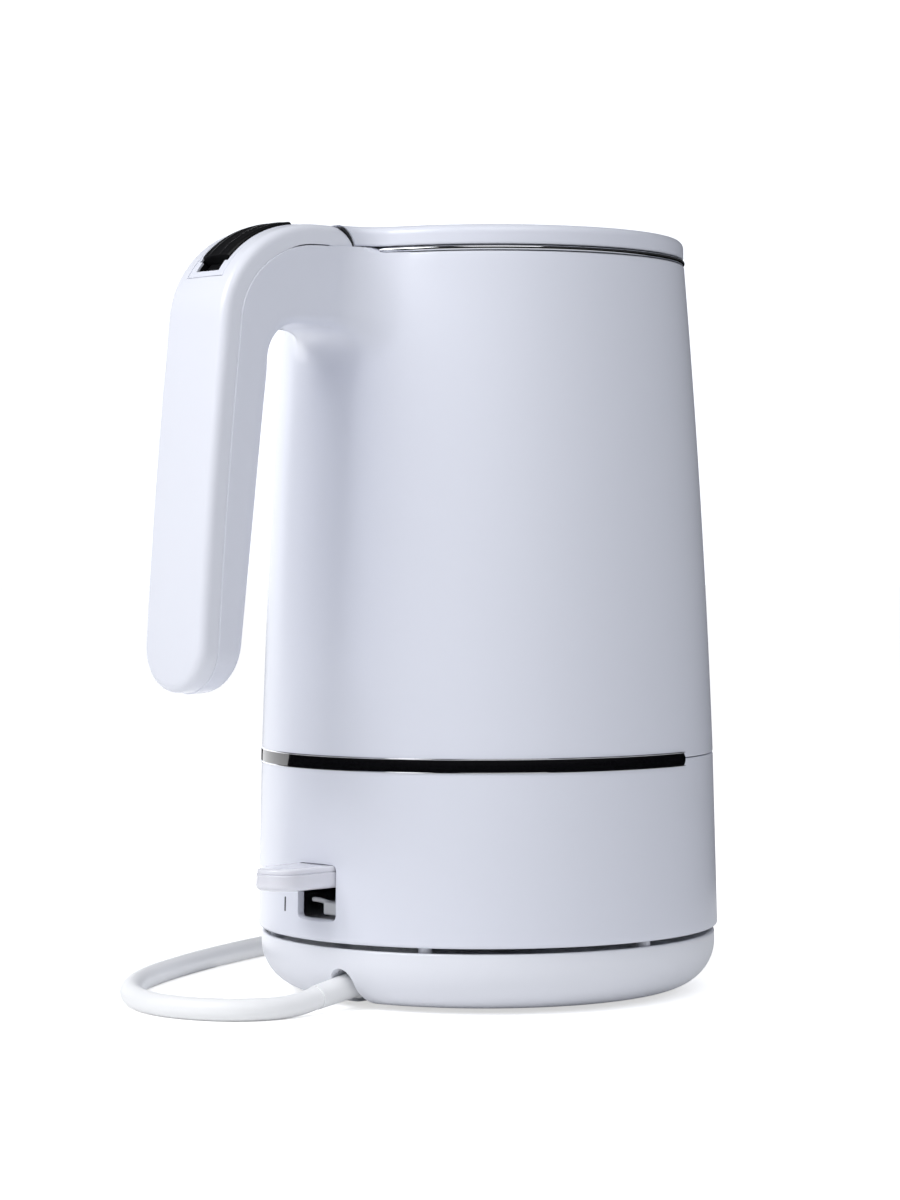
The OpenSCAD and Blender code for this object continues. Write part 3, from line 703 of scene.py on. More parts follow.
@dataclass(frozen=True)
class HandleForm:
    """Outlines of the handle in (u, z): its back from the top over the corner to its end, and its inner side."""

    width: float = 28.5
    end_z: float = 99.4
    top_z: float = 241.0
    corner_u: float = 84.0
    corner_z: float = 208.5
    corner_a: float = 37.2
    arch_u: float = 90.5
    arch_z: float = 198.0
    arch_r: float = 12.0
    cover_d: float = 6.8
    nose_u: float = 77.3
    nose_r: float = 8.1
    flat_steps: int = 20
    corner_steps: int = 56
    grip_steps: int = 107

    @property
    def half(self) -> float:
        """Half of the handle's width."""
        return self.width / 2

    @property
    def nose_z(self) -> float:
        """Height of the middle of the nose's arc."""
        return self.top_z - self.nose_r

    @property
    def seam_z(self) -> float:
        """Height of the seam between cover and core on top of the arm."""
        return self.top_z - self.cover_d

    def steps(self) -> tuple[Array, Array, Array]:
        """Shares from 0 to 1 along the flat top, the corner and the grip."""
        return (
            np.linspace(0, 1, self.flat_steps, endpoint=False),
            np.linspace(0, 1, self.corner_steps, endpoint=False),
            np.linspace(0, 1, self.grip_steps + 1),
        )

    def back(self, start_u: float, inset: float = 0.0) -> Array:
        """The back, moved inwards by inset: a flat, a quarter of an ellipse, then a slow curve outwards.

        Args:
            start_u: Where the flat begins.
            inset: Distance that it is moved towards the inner side.

        Returns:
            Points, one for each step of the handle.
        """
        flat, corner, grip = self.steps()
        a = np.pi / 2 * (1 - corner)
        drop = (self.corner_z - self.end_z) * grip
        line = np.concatenate([
            np.stack([start_u + (self.corner_u - start_u) * flat, self.top_z + 0 * flat], -1),
            np.stack(
                [
                    self.corner_u + self.corner_a * np.cos(a),
                    self.corner_z + (self.top_z - self.corner_z) * np.sin(a),
                ],
                -1,
            ),
            np.stack(
                [self.corner_u + self.corner_a + 0.124 * drop - 0.0003 * drop**2, self.corner_z - drop], -1,
            ),
        ])
        return self.moved_in(averaged(line, 6), inset)

    @staticmethod
    def moved_in(line: Array, inset: float) -> Array:
        """Moves a line to its right-hand side, which is the inner side of the handle, by inset."""
        along = headings(line, False)
        return line + inset * np.stack([along[:, 1], -along[:, 0]], -1)

    def inner(self, start_u: float, inset: float = 0.0) -> Array:
        """The inner side, moved outwards by inset: the arm's underside, an arch, then the grip."""
        flat, corner, grip = self.steps()
        a = np.pi / 2 * (1 - corner)
        drawn_in = (self.corner_z - self.arch_z) * np.clip(1 - grip / 0.6, 0, 1) ** 2
        level = self.corner_z - (self.corner_z - self.end_z) * grip - drawn_in
        line = np.concatenate([
            np.stack([start_u + (self.arch_u - start_u) * flat, self.arch_z + self.arch_r + 0 * flat], -1),
            np.stack([self.arch_u + self.arch_r * np.cos(a), self.arch_z + self.arch_r * np.sin(a)], -1),
            np.stack([self.arch_u + self.arch_r + 0.125 * (195 - np.minimum(level, 195)), level], -1),
        ])
        return self.moved_in(averaged(line, 5), -inset)

    def pill(
        self,
        top: Array,
        under: Array,
        half: float,
        end_inset: float,
        edge_top: Array | float,
        edge_under: float,
        crown_top: float = 0.0,
        crown_under: float = 0.0,
    ) -> Shell:
        """Slab that follows the handle and ends in a half circle seen from behind, with rounded edges.

        One parameter goes down one side, round the end and up the other side. The other goes across the edge: from
        the middle of the back over its rounded edge, down the flank, and over the inner edge to the middle again.
        Each face rises by its crown from its edges to its middle.

        Args:
            top: The outer outline, one point for each step.
            under: The inner outline, matched to it.
            half: Half of the slab's width.
            end_inset: How far its end stands inside the handle's end.
            edge_top: Edge radius at the outer outline, one number or one for each step.
            edge_under: Edge radius at the inner outline.
            crown_top: Crown of the outer face.
            crown_under: Crown of the inner face.

        Returns:
            The closed surface.
        """
        first_grip = self.flat_steps + self.corner_steps
        per_mm = self.grip_steps / (self.corner_z - self.end_z)
        centre = len(top) - 1 - (end_inset + half) * per_mm
        side = np.concatenate([np.arange(0, first_grip, 1.0), np.linspace(first_grip, centre, 70)])
        turn = np.linspace(0, np.pi, 33)[1:-1]
        station = np.concatenate([side, np.full(len(turn), centre), side[::-1]])[None]
        across = np.concatenate([-np.ones(len(side)), -np.cos(turn), np.ones(len(side))])[None]
        along = np.concatenate([np.zeros(len(side)), np.sin(turn), np.zeros(len(side))])[None]
        edge_1 = np.interp(station, np.arange(len(top)), np.broadcast_to(edge_top, len(top)))
        depth = np.linalg.norm(under - top, axis=1)
        edge_1 = np.minimum(edge_1, 0.42 * np.interp(station, np.arange(len(top)), depth))
        face = np.linspace(0, 1, 9)[:, None]
        b, flank = np.pi / 2 * face[1:], face[1:]
        edge_2 = np.minimum(edge_under, 0.42 * np.interp(station, np.arange(len(top)), depth))
        rise_1 = crown_top * ((half - edge_1) / half) ** 2
        rise_2 = crown_under * ((half - edge_2) / half) ** 2
        inset = np.concatenate([
            half + (edge_1 - half) * face, edge_1 * (1 - np.sin(b)), 0 * edge_1 * flank,
            edge_2 * (1 - np.cos(b)), edge_2 + (half - edge_2) * face[1:],
        ])
        place_at = station + (half - inset) * along * per_mm
        points_top = np.stack([np.interp(place_at, np.arange(len(top)), top[:, i]) for i in (0, 1)], -1)
        points_under = np.stack([np.interp(place_at, np.arange(len(top)), under[:, i]) for i in (0, 1)], -1)
        reach = np.linalg.norm(points_under - points_top, axis=-1)
        n_face, n_edge, n_flank = len(face), len(b), len(flank)
        near, far = reach[n_face + n_edge : n_face + n_edge + n_flank], reach[n_face + n_edge + n_flank :]
        down = np.concatenate([
            crown_top * (face * (half - edge_1) / half) ** 2,
            rise_1 + edge_1 * (1 - np.cos(b)),
            rise_1 + edge_1 + (near - rise_1 - edge_1 - rise_2 - edge_2) * flank,
            far[:n_edge] - rise_2 - edge_2 * (1 - np.sin(b)),
            far[n_edge:] - crown_under * ((1 - face[1:]) * (half - edge_2) / half) ** 2,
        ])
        share = (down / np.maximum(reach, 1e-6))[..., None]
        flat = points_top + (points_under - points_top) * share
        return grid_shell(np.stack([-flat[..., 0], (half - inset) * across, flat[..., 1]], -1))

    def strip(
        self, start: float, end: float, high: float, low: float, half: float, edge: float,
        ridge: float = 0.0, rows: int = 60,
    ) -> Shell:
        """Strip over the corner of the handle, with a rounded rectangle as its section.

        Args:
            start: First step of the outline, as a share of the corner.
            end: Last step, as a share of the corner.
            high: Inset of its upper face.
            low: Inset of its lower face.
            half: Half of its width.
            edge: Radius of its long edges.
            ridge: Height of two ribs along its upper face, which fade towards both ends.
            rows: Sections along it.

        Returns:
            The closed surface.
        """
        line = self.back(self.nose_u)
        along = headings(line, False)
        inward = np.stack([along[:, 1], -along[:, 0]], -1)
        at = self.flat_steps + self.corner_steps * np.linspace(start, end, rows)
        spine = np.stack([np.interp(at, np.arange(len(line)), line[:, i]) for i in (0, 1)], -1)[:, None]
        normal = np.stack([np.interp(at, np.arange(len(line)), inward[:, i]) for i in (0, 1)], -1)[:, None]
        corners = np.array([[-half, high], [half, high], [half, low], [-half, low]])
        loop = spaced(soften(corners, [edge] * 4, 5), 0.4)
        y, inset = loop[None, :, 0], loop[None, :, 1]
        fade = np.sin(np.pi * np.clip(np.linspace(0.02, 0.98, rows), 0, 1))[:, None] ** 0.4
        ribs = np.exp(-(((np.abs(y) - 0.38 * half) / 0.42) ** 2)) * (inset < high + 0.01)
        flat = spine + normal * (inset - ridge * ribs * fade)[..., None]
        return grid_shell(capped(np.stack([-flat[..., 0], y + 0 * fade, flat[..., 1]], -1)))


WALL = WallForm()
HANDLE = HandleForm()


# ---------------------------------------------------------------- sub-assemblies


@dataclass
class Casing:
    """Upper moulding of the jug: the wall with its beak, the arm with its flares, and the core of the handle."""

    shop: Workshop
    seam_z: float = 76.8
    thickness: float = 2.4
    flare_r: float = 12.5
    edge: float = 0.5
    inner_edge: float = 4.0
    arm_start_u: float = 63.2

    def wall(self) -> Shell:
        """The wall: its outer radius less the profile's depth, on a grid of angle and profile."""
        z0, z1, t = self.seam_z, WALL.rim_z, self.thickness
        loop = soften(np.array([[0, z0], [0, z1], [t, z1], [t, z0]]), [self.edge, 0.6, 0.6, self.edge], 5)
        loop = spaced(loop, 2.4)
        angle = np.linspace(0, 2 * np.pi, 288, endpoint=False)[:, None]
        depth, z = loop[None, :, 0], loop[None, :, 1]
        r = WALL.beaked(angle, z) - depth
        return grid_shell(np.stack([r * np.cos(angle), r * np.sin(angle), z + 0 * angle], -1), wrap_rows=True)

    def flare(self) -> Shell:
        """The arm's foot, spreading into the wall.

        At a distance d outside the arm's section the surface stands r - root(r2 - (r - d)2) off the wall, a quarter
        circle that leaves the arm along it and meets the wall flush.
        """
        half, top, low, corner = HANDLE.half, 234.55, HANDLE.arch_z + HANDLE.arch_r, self.inner_edge
        flank = np.linspace(top, low + corner, 22)
        left = np.stack([np.full(22, -half), flank, np.full(22, -1.0), np.zeros(22)], -1)
        a = np.radians(np.linspace(180, 270, 10))[1:]
        turn = np.stack(
            [
                -half + corner + corner * np.cos(a), low + corner + corner * np.sin(a), np.cos(a), np.sin(a),
            ], -1,
        )
        y = np.linspace(-half + corner, 0, 10)[1:]
        under = np.stack([y, np.full(9, low), np.zeros(9), -np.ones(9)], -1)
        one_side = np.concatenate([left, turn, under])
        other = one_side[-2::-1] * np.array([-1, 1, -1, 1])
        y = np.linspace(half, -half, 22)[1:-1]
        over = np.stack([y, np.full(20, top), y / half, np.zeros(20)], -1)
        loop = np.concatenate([one_side, other, over])[None]
        b = np.linspace(0, np.pi / 2, 22)
        r = self.flare_r
        d = np.concatenate([[-0.6, -0.05], r * (1 - np.cos(b)), [r + 0.6, r + 1.4]])[:, None]
        h = np.concatenate([[r + 4, r + 0.7], r * (1 - np.sin(b)), [-0.03, -1.4]])[:, None]
        y = loop[..., 0] + loop[..., 2] * d
        z = loop[..., 1] + loop[..., 3] * d
        step = np.clip((np.abs(y) - 16.2) / 0.9, 0, 1)
        z = np.minimum(z, top - (top - WALL.rim_z) * step)
        u = np.sqrt(WALL.radius(z) ** 2 - y**2) + h
        return grid_shell(capped(np.stack([-u, y, z], -1)))

    def core(self) -> Shell:
        """The inner half of the handle, from inside the wall to the end of the grip."""
        top = HANDLE.back(self.arm_start_u, HANDLE.cover_d)
        under = HANDLE.inner(self.arm_start_u)
        return HANDLE.pill(top, under, HANDLE.half, 0.0, 0.45, self.inner_edge, 0.0, 0.35)

    def pocket(self) -> Shell:
        """The hollow of the core, open towards the cover."""
        top = HANDLE.back(66.5, HANDLE.cover_d - 2.0)
        under = HANDLE.inner(66.5, self.thickness)
        return HANDLE.pill(top, under, HANDLE.half - self.thickness, self.thickness, 0.5, 2.0)

    def fittings(self) -> list[Shell]:
        """Ears for the hinge pin, the latch shelf and the seat of the button's spring."""
        ears = [bar(77, 85, 212, 239.4, *side) for side in ((8.7, 11.6), (-11.6, -8.7))]
        reach = HANDLE.half - self.thickness + 0.3
        return ears + [bar(86, 96, 226, 228.6, -reach, reach), bar(100, 109, 209, 213.4, -reach, reach)]

    def build(self) -> bpy.types.Object:
        """Builds the casing. The four fittings have open edges, so they are missing from it."""
        piece = make_piece("jug_casing", [self.wall()])
        combine(piece, "UNION", self.flare(), self.core())
        holes = [self.pocket()]
        for z in (122.0, 184.0):
            u = 102.5 + 0.125 * (195 - z)
            holes.append(self.screw_hole(z, u))
        combine(piece, "DIFFERENCE", *holes)
        combine(piece, "UNION", *self.fittings())
        combine(piece, "DIFFERENCE", rod(81, 237.2, 1.5, -15, 15))
        return self.shop.fit(piece, "jug", Slot.WHITE, WHITE, "body_casing")

    @staticmethod
    def screw_hole(z: float, u: float) -> Shell:
        """Stepped hole along X for a handle screw: a line of circles of growing radius."""
        along = np.array([u - 2.5, u + 0.9, u + 1.0, u + 5.0])[:, None]
        radius = np.array([3.1, 3.1, 1.6, 1.6])[:, None]
        a = np.linspace(0, 2 * np.pi, 32, endpoint=False)[None]
        return grid_shell(capped(np.stack([-along + 0 * a, radius * np.cos(a), z + radius * np.sin(a)], -1)))


@dataclass
class Cover:
    """Outer half of the handle, with the lid's nose, the button's opening and the hollow behind it."""

    shop: Workshop
    edge: float = 4.3
    nose_edge: float = 2.6
    crown: float = 0.5
    opening_half: float = 8.5
    slot_half: float = 8.4
    seam_gap: float = 0.36
    seam_steps: int = 34
    # Thickness of the dark strips that paint shade into the nose gap.
    shade_strip_thick: float = 0.3

    def outer(self) -> Array:
        """The back's outline, with the nose's arc in place of the flat's beginning."""
        line = HANDLE.back(HANDLE.nose_u)
        nose = arc((HANDLE.nose_u, HANDLE.nose_z), HANDLE.nose_r, 170.7, 90, HANDLE.flat_steps - 8)
        rest = HANDLE.flat_steps - len(nose)
        flat = np.stack(
            [
                np.linspace(HANDLE.nose_u, HANDLE.corner_u, rest + 1, endpoint=False)[1:],
                np.full(rest, HANDLE.top_z),
            ],
            -1,
        )
        return np.concatenate([nose, flat, line[HANDLE.flat_steps :]])

    def solid(self) -> Shell:
        """The cover before anything is cut from it."""
        top = self.outer()
        start = top[0, 0]
        under = HANDLE.back(start, HANDLE.cover_d + 0.02)
        under[:, 1] += self.seam_gap * np.clip((self.seam_steps - np.arange(len(under))) / 6, 0, 1)
        under[0] = top[0] + np.array([0.02, -0.02])
        share = np.clip((np.arange(len(top)) - HANDLE.flat_steps) / 30, 0, 1)
        edge = self.nose_edge + (self.edge - self.nose_edge) * share * share * (3 - 2 * share)
        return HANDLE.pill(top, under, HANDLE.half - 0.3, 0.3, edge, 0.12, self.crown, 0.0)

    def hollow(self) -> Shell:
        """The space inside the cover, open towards the core."""
        top = HANDLE.back(74.0, 2.2)
        under = HANDLE.back(74.0, HANDLE.cover_d + 1.5)
        return HANDLE.pill(top, under, HANDLE.half - 2.2, 2.2, 2.6, 0.3)

    def nose_shade_strips(self) -> list[Shell]:
        """Two thin dark strips over the nose, in the gap to the lid, one on each side of the tongue: painted shade
        that darkens the gap.
        """
        a = np.radians(np.linspace(168, 116, 24))[:, None]
        shells = []
        for y0, y1 in ((8.5, HANDLE.half - 0.5), (0.5 - HANDLE.half, -8.5)):
            r = HANDLE.nose_r - 0.1 + self.shade_strip_thick * np.array([[0.0, 1.0, 1.0, 0.0]])
            y = np.array([[y0, y0, y1, y1]]) + 0 * a
            points = np.stack([-HANDLE.nose_u - r * np.cos(a), y, HANDLE.nose_z + r * np.sin(a)], -1)
            shells.append(grid_shell(capped(points)))
        return shells

    def build(self) -> bpy.types.Object:
        """Builds the cover and cuts its openings, apart from the tongue's slot: that block has open edges."""
        # The dark strips in the nose gap are painted shade, not a real seal.
        self.shop.fit(make_piece("nose_gap_painted_shade", self.nose_shade_strips()), "jug", Slot.DARK, DARK)
        piece = make_piece("grip_cover", [self.solid()])
        tongue_slot = bar(60, 86.2, 226, 244, -self.slot_half, self.slot_half, 0.6)
        opening = HANDLE.strip(0.044, 0.692, -4, 9, self.opening_half - 0.12, 0.5)
        combine(piece, "DIFFERENCE", self.hollow(), tongue_slot, opening)
        # The cover gets the lighter copy of the white moulding: painted light.
        return self.shop.fit(piece, "jug", Slot.WHITE, COVER_WHITE_LIT, "handle_cover")


@dataclass
class ReleaseSet:
    """The lid's release button, the white bezel round it, the well under it, whose black is painted shade, and its
    return spring.
    """

    shop: Workshop
    bezel_half: float = 8.2
    button_half: float = 6.3
    raised: float = 0.9
    button_start: float = 0.066
    button_end: float = 0.545
    button_low: float = 5.2
    well_low: float = 9.6
    well_floor: float = 8.8
    pin: tuple[float, float] = (90.5, 236.5)
    spring_u: float = 104.5
    spring_low: float = 214.1
    spring_length: float = 11.8
    travel_end: float = 0.576
    recess_half: float = 5.3
    recess_end: float = 0.65
    gap: float = 0.35

    def build(self) -> None:
        """Builds the bezel, the button, the well and the spring."""
        bezel = make_piece(
            "button_bezel_strip", [HANDLE.strip(0.048, 0.688, 0.05, 6.4, self.bezel_half, 0.5)],
        )
        slot = HANDLE.strip(0.06, self.travel_end, -4, 12, self.button_half + self.gap, 0.4)
        recess = HANDLE.strip(0.5, self.recess_end, -4, 12, self.recess_half, 0.8)
        combine(bezel, "DIFFERENCE", slot, recess)
        combine(bezel, "DIFFERENCE", rod(*self.pin, 1.0, -15, 15))
        self.shop.fit(bezel, "jug", Slot.WHITE, WHITE, "button_bezel")
        body = HANDLE.strip(
            self.button_start, self.button_end, -self.raised, self.button_low, self.button_half, 1.3, 0.3, 90,
        )
        foot = HANDLE.strip(0.44, 0.61, 2.6, self.button_low, self.recess_half - 0.3, 0.5)
        knuckle = rod(*self.pin, 2.2, -self.button_half + 0.1, self.button_half - 0.1)
        button = make_piece("release_key", [body])
        combine(button, "UNION", foot, knuckle)
        combine(button, "DIFFERENCE", rod(*self.pin, 1.05, -15, 15))
        self.shop.fit(button, "button", Slot.BLACK, KEY_BLACK, "release_button")
        wide, narrow = self.button_half + 0.3, self.recess_half - 0.05
        # The well's black is painted shade: it darkens the recess under the button.
        well = make_piece(
            "button_well_painted_shade", [HANDLE.strip(0.4, self.travel_end - 0.001, 0.6, self.well_low, wide, 0.3)],
        )
        combine(well, "UNION", HANDLE.strip(0.5, self.recess_end - 0.001, 0.6, self.well_low, narrow, 0.3))
        wide_space = HANDLE.strip(0.36, self.travel_end - 0.003, -2.0, self.well_floor, wide - 0.12, 0.3)
        narrow_space = HANDLE.strip(0.36, self.recess_end - 0.004, -2.0, self.well_floor, narrow - 0.2, 0.3)
        combine(well, "DIFFERENCE", wide_space, narrow_space)
        self.shop.fit(well, "jug", Slot.DARK, SATIN_SHADE_BLACK)
        spring = self.shop.fit(
            make_piece("return_spring", [self.spring()]), "jug", Slot.ZINC, ZINC, "button_spring",
        )
        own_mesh(spring)

    def spring(self) -> Shell:
        """Return spring under the button: a helix of four turns."""
        turn = np.linspace(0, 8 * np.pi, 120)
        z = self.spring_low + self.spring_length * turn / turn[-1]
        path = np.stack([2.8 * np.cos(turn) - self.spring_u, 2.8 * np.sin(turn), z], -1)
        return tube(path, np.full(len(path), 0.5), 10)


@dataclass
class Lid:
    """The lid's cap with its flush tongue, and the hinge and hook under it."""

    shop: Workshop
    radius: float = 63.9
    low_z: float = 234.9
    top_z: float = 241.0
    crown: float = 1.6
    edge: float = 2.6
    fillet: float = 12.4
    wall: float = 2.0

    def outline(self) -> Array:
        """Plan of the lid in (u, y): a circle, and a strip that leaves it through two concave arcs."""
        half, r, f = HANDLE.half, self.radius, self.fillet
        centre_u = math.sqrt((r + f) ** 2 - (half + f) ** 2)
        meet = math.degrees(math.asin((half + f) / (r + f)))
        rim = arc((0, 0), r, meet, 360 - meet, 220)
        lower = arc((centre_u, -half - f), f, 180 - meet, 90, 18)[1:]
        upper = arc((centre_u, half + f), f, 270, 180 + meet, 18)[:-1]
        u = np.linspace(centre_u, 82, 10)[1:]
        side = np.stack([u, np.full(9, half)], -1)
        end = np.stack([np.full(13, 82.0), np.linspace(-half, half, 15)[1:-1]], -1)
        return np.concatenate([rim, lower, side * [1, -1], end, side[::-1], upper])

    def cap(self) -> Shell:
        """The cap: the outline drawn in along the edge profile, then to the middle, with its end on the nose."""
        plan = self.outline()
        along = headings(plan)
        inward = np.stack([-along[:, 1], along[:, 0]], -1)
        b = np.linspace(0, np.pi / 2, 10)
        low = soften(
            np.array(
                [[self.wall, 238.0], [self.wall, self.low_z], [0, self.low_z], [0, self.top_z - self.edge]]
            ),
            [0, 0.5, 0.5, 0], 4, False,
        )
        side = np.linspace(low[-1], [0, self.top_z - self.edge], 3)[1:]
        rise = np.linspace(low[-2], low[-1], 8)[1:-1]
        bend = np.stack([self.edge * (1 - np.cos(b)), self.top_z - self.edge + self.edge * np.sin(b)], -1)[1:]
        profile = np.concatenate([low[:-1], rise, side[-1:], bend])
        rows = plan[None] + inward[None] * profile[:, None, 0, None]
        z = np.broadcast_to(profile[:, None, 1], rows.shape[:2])
        share = np.concatenate([np.linspace(0.97, 0.04, 26), [0.0]])[:, None, None]
        top = rows[-1:] * share
        reach = np.clip(np.linalg.norm(top, axis=-1) / 60.0, 0, 1)
        top_z = self.top_z + self.crown * (1 - reach**2) ** 2
        shares = np.concatenate([[0.0], np.linspace(0.1, 0.97, 9)])[:, None, None]
        under = rows[:1] * shares
        under_z = np.broadcast_to(239.4 - 1.4 * shares[..., 0] ** 4, under.shape[:2])
        flat = np.concatenate([under, rows, top])
        height = np.concatenate([under_z, z, top_z])
        reach = HANDLE.nose_r + 0.47
        nose = HANDLE.nose_u - np.sqrt(np.maximum(reach**2 - (height - HANDLE.nose_z) ** 2, 0))
        u = np.minimum(flat[..., 0], nose)
        return grid_shell(np.stack([-u, flat[..., 1], height], -1))

    def build(self) -> bpy.types.Object:
        """Builds the cap. It has open edges, so the tongue, arm, knuckle, hook, lip and bore are missing from it."""
        piece = make_piece("lid_shell", [self.cap()])
        tongue = bar(66, 83.6, 239.9, self.top_z, -8, 8, 0.45)
        arm = bar(66, 81, 235.2, 240.6, -4.5, 4.5, 0.5)
        knuckle = rod(81, 237.2, 3.0, -4.5, 4.5, 0.4)
        hook = bar(72, 74, 226.5, 239.5, -3.5, 3.5, 0.3)
        lip = bar(73.6, 76.2, 226.5, 228.4, -3.5, 3.5, 0.3)
        combine(piece, "UNION", tongue, arm, knuckle, hook, lip)
        combine(piece, "DIFFERENCE", rod(81, 237.2, 1.55, -15, 15))
        return self.shop.fit(piece, "lid", Slot.WHITE, WHITE, "lid_cap")


@dataclass
class LowerShell:
    """Lower moulding of the jug with the window of the switch."""

    shop: Workshop
    seam_z: float = 76.5
    thickness: float = 2.4
    window_half: float = 8.8
    window_z0: float = 28.0
    window_z1: float = 44.96

    def window(self) -> Shell:
        """Funnel through the wall: a rounded rectangle that widens at the outside."""
        rows = []
        for u, grow in ((60.0, 0.0), (72.9, 0.0), (73.4, 0.1), (73.8, 0.35), (74.2, 0.8), (78.0, 5.0)):
            w, z0, z1 = self.window_half + grow, self.window_z0 - grow, self.window_z1 + grow
            corners = np.array([[-w, z0], [w, z0], [w, z1], [-w, z1]])
            loop = soften(corners, [1.6 + grow] * 4, 8)
            rows.append(np.stack([np.full(len(loop), -u), loop[:, 0], loop[:, 1]], -1))
        return grid_shell(capped(np.stack(rows)))

    def build(self) -> bpy.types.Object:
        """Builds the shell and cuts the window."""
        z0, z1, t = WALL.foot_z, self.seam_z, self.thickness
        r0, r1 = float(WALL.radius(np.array(z0))), float(WALL.radius(np.array(z1)))
        loop = soften(np.array([[r0, z0], [r1, z1], [r1 - t, z1], [r0 - t, z0]]), [0.9, 0.45, 0.3, 0.6], 6)
        piece = make_piece("lower_casing", [turned(spaced(loop, 2.6), 288, 0.3)])
        combine(piece, "DIFFERENCE", self.window())
        return self.shop.fit(piece, "jug", Slot.WHITE, WHITE, "lower_shell")


@dataclass
class RimTrim:
    """Bright half-round ring between the casing and the lid, open where the arm meets the jug."""

    shop: Workshop
    radius: float = 64.35
    inner: float = 60.2
    low_z: float = 233.0
    high_z: float = 234.5
    open_deg: float = 15.4

    def build(self) -> None:
        """Builds the ring: a profile with an elliptical outer edge, turned between its two ends."""
        a = np.radians(np.linspace(-90, 90, 13))
        mid, half = (self.low_z + self.high_z) / 2, (self.high_z - self.low_z) / 2
        edge = np.stack([self.radius - 0.75 + 0.75 * np.cos(a), mid + half * np.sin(a)], -1)
        loop = np.concatenate([edge, [[self.inner, self.high_z], [self.inner, self.low_z]]])
        angle = np.radians(180 + self.open_deg + np.linspace(0, 360 - 2 * self.open_deg, 240))[:, None]
        points = np.stack(
            [loop[:, 0] * np.cos(angle), loop[:, 0] * np.sin(angle), loop[:, 1] + 0 * angle], -1,
        )
        ring = make_piece("rim_trim", [grid_shell(capped(points))])
        self.shop.fit(ring, "jug", Slot.CHROME, CHROME, "rim_ring")


@dataclass
class TrimBand:
    """Gloss band round the handle side of the seam, with bright lines along its edges."""

    shop: Workshop
    low_z: float = 74.05
    high_z: float = 78.65
    half_deg: float = 103.9
    proud: float = 0.18

    def ribbon(
        self, low: float, high: float, raised: float, depth: float, ends: float, edge: float = 0.16,
    ) -> Shell:
        """Curved ribbon whose section is a flat rounded bar, with ends that narrow in a quarter circle."""
        mid, half = (low + high) / 2, (high - low) / 2
        arc_length = np.radians(2 * self.half_deg) * WALL.band_r
        s = np.concatenate(
            [
                ends * (1 - np.cos(np.linspace(0.12, np.pi / 2, 10))),
                np.linspace(ends, arc_length - ends, 200)[1:-1],
            ]
        )
        s = np.concatenate([s, arc_length - ends * (1 - np.cos(np.linspace(np.pi / 2, 0.12, 10)))])
        short = np.minimum(s, arc_length - s)
        narrow = np.sqrt(np.clip(1 - (1 - np.clip(short / ends, 0, 1)) ** 2, 0.01, 1))
        loop = soften(np.array([[-1, -1], [1, -1], [1, 1], [-1, 1]]) * 1.0, [0.0, edge, edge, 0.0], 7)
        z = mid + half * narrow[:, None] * loop[None, :, 1]
        angle = np.radians(180 - self.half_deg) + s[:, None] / WALL.band_r
        inner = -depth
        r = WALL.radius(z) + inner + (raised - inner) * (loop[None, :, 0] + 1) / 2
        return grid_shell(capped(np.stack([r * np.cos(angle), r * np.sin(angle), z], -1)))

    def build(self) -> None:
        """Builds the dark band and the bright edge lines beside it."""
        band = make_piece("trim_ribbon", [self.ribbon(self.low_z, self.high_z, self.proud, 1.2, 2.2)])
        self.shop.fit(band, "jug", Slot.BLACK, GLOSS_BLACK, "trim_band")
        lines = [
            self.ribbon(self.high_z - 0.5, self.high_z + 0.06, self.proud + 0.16, 0.6, 3.0, 0.9),
            self.ribbon(self.low_z - 0.06, self.low_z + 0.5, self.proud + 0.16, 0.6, 3.0, 0.9),
        ]
        self.shop.fit(make_piece("trim_edge_lines", lines), "jug", Slot.CHROME, CHROME)


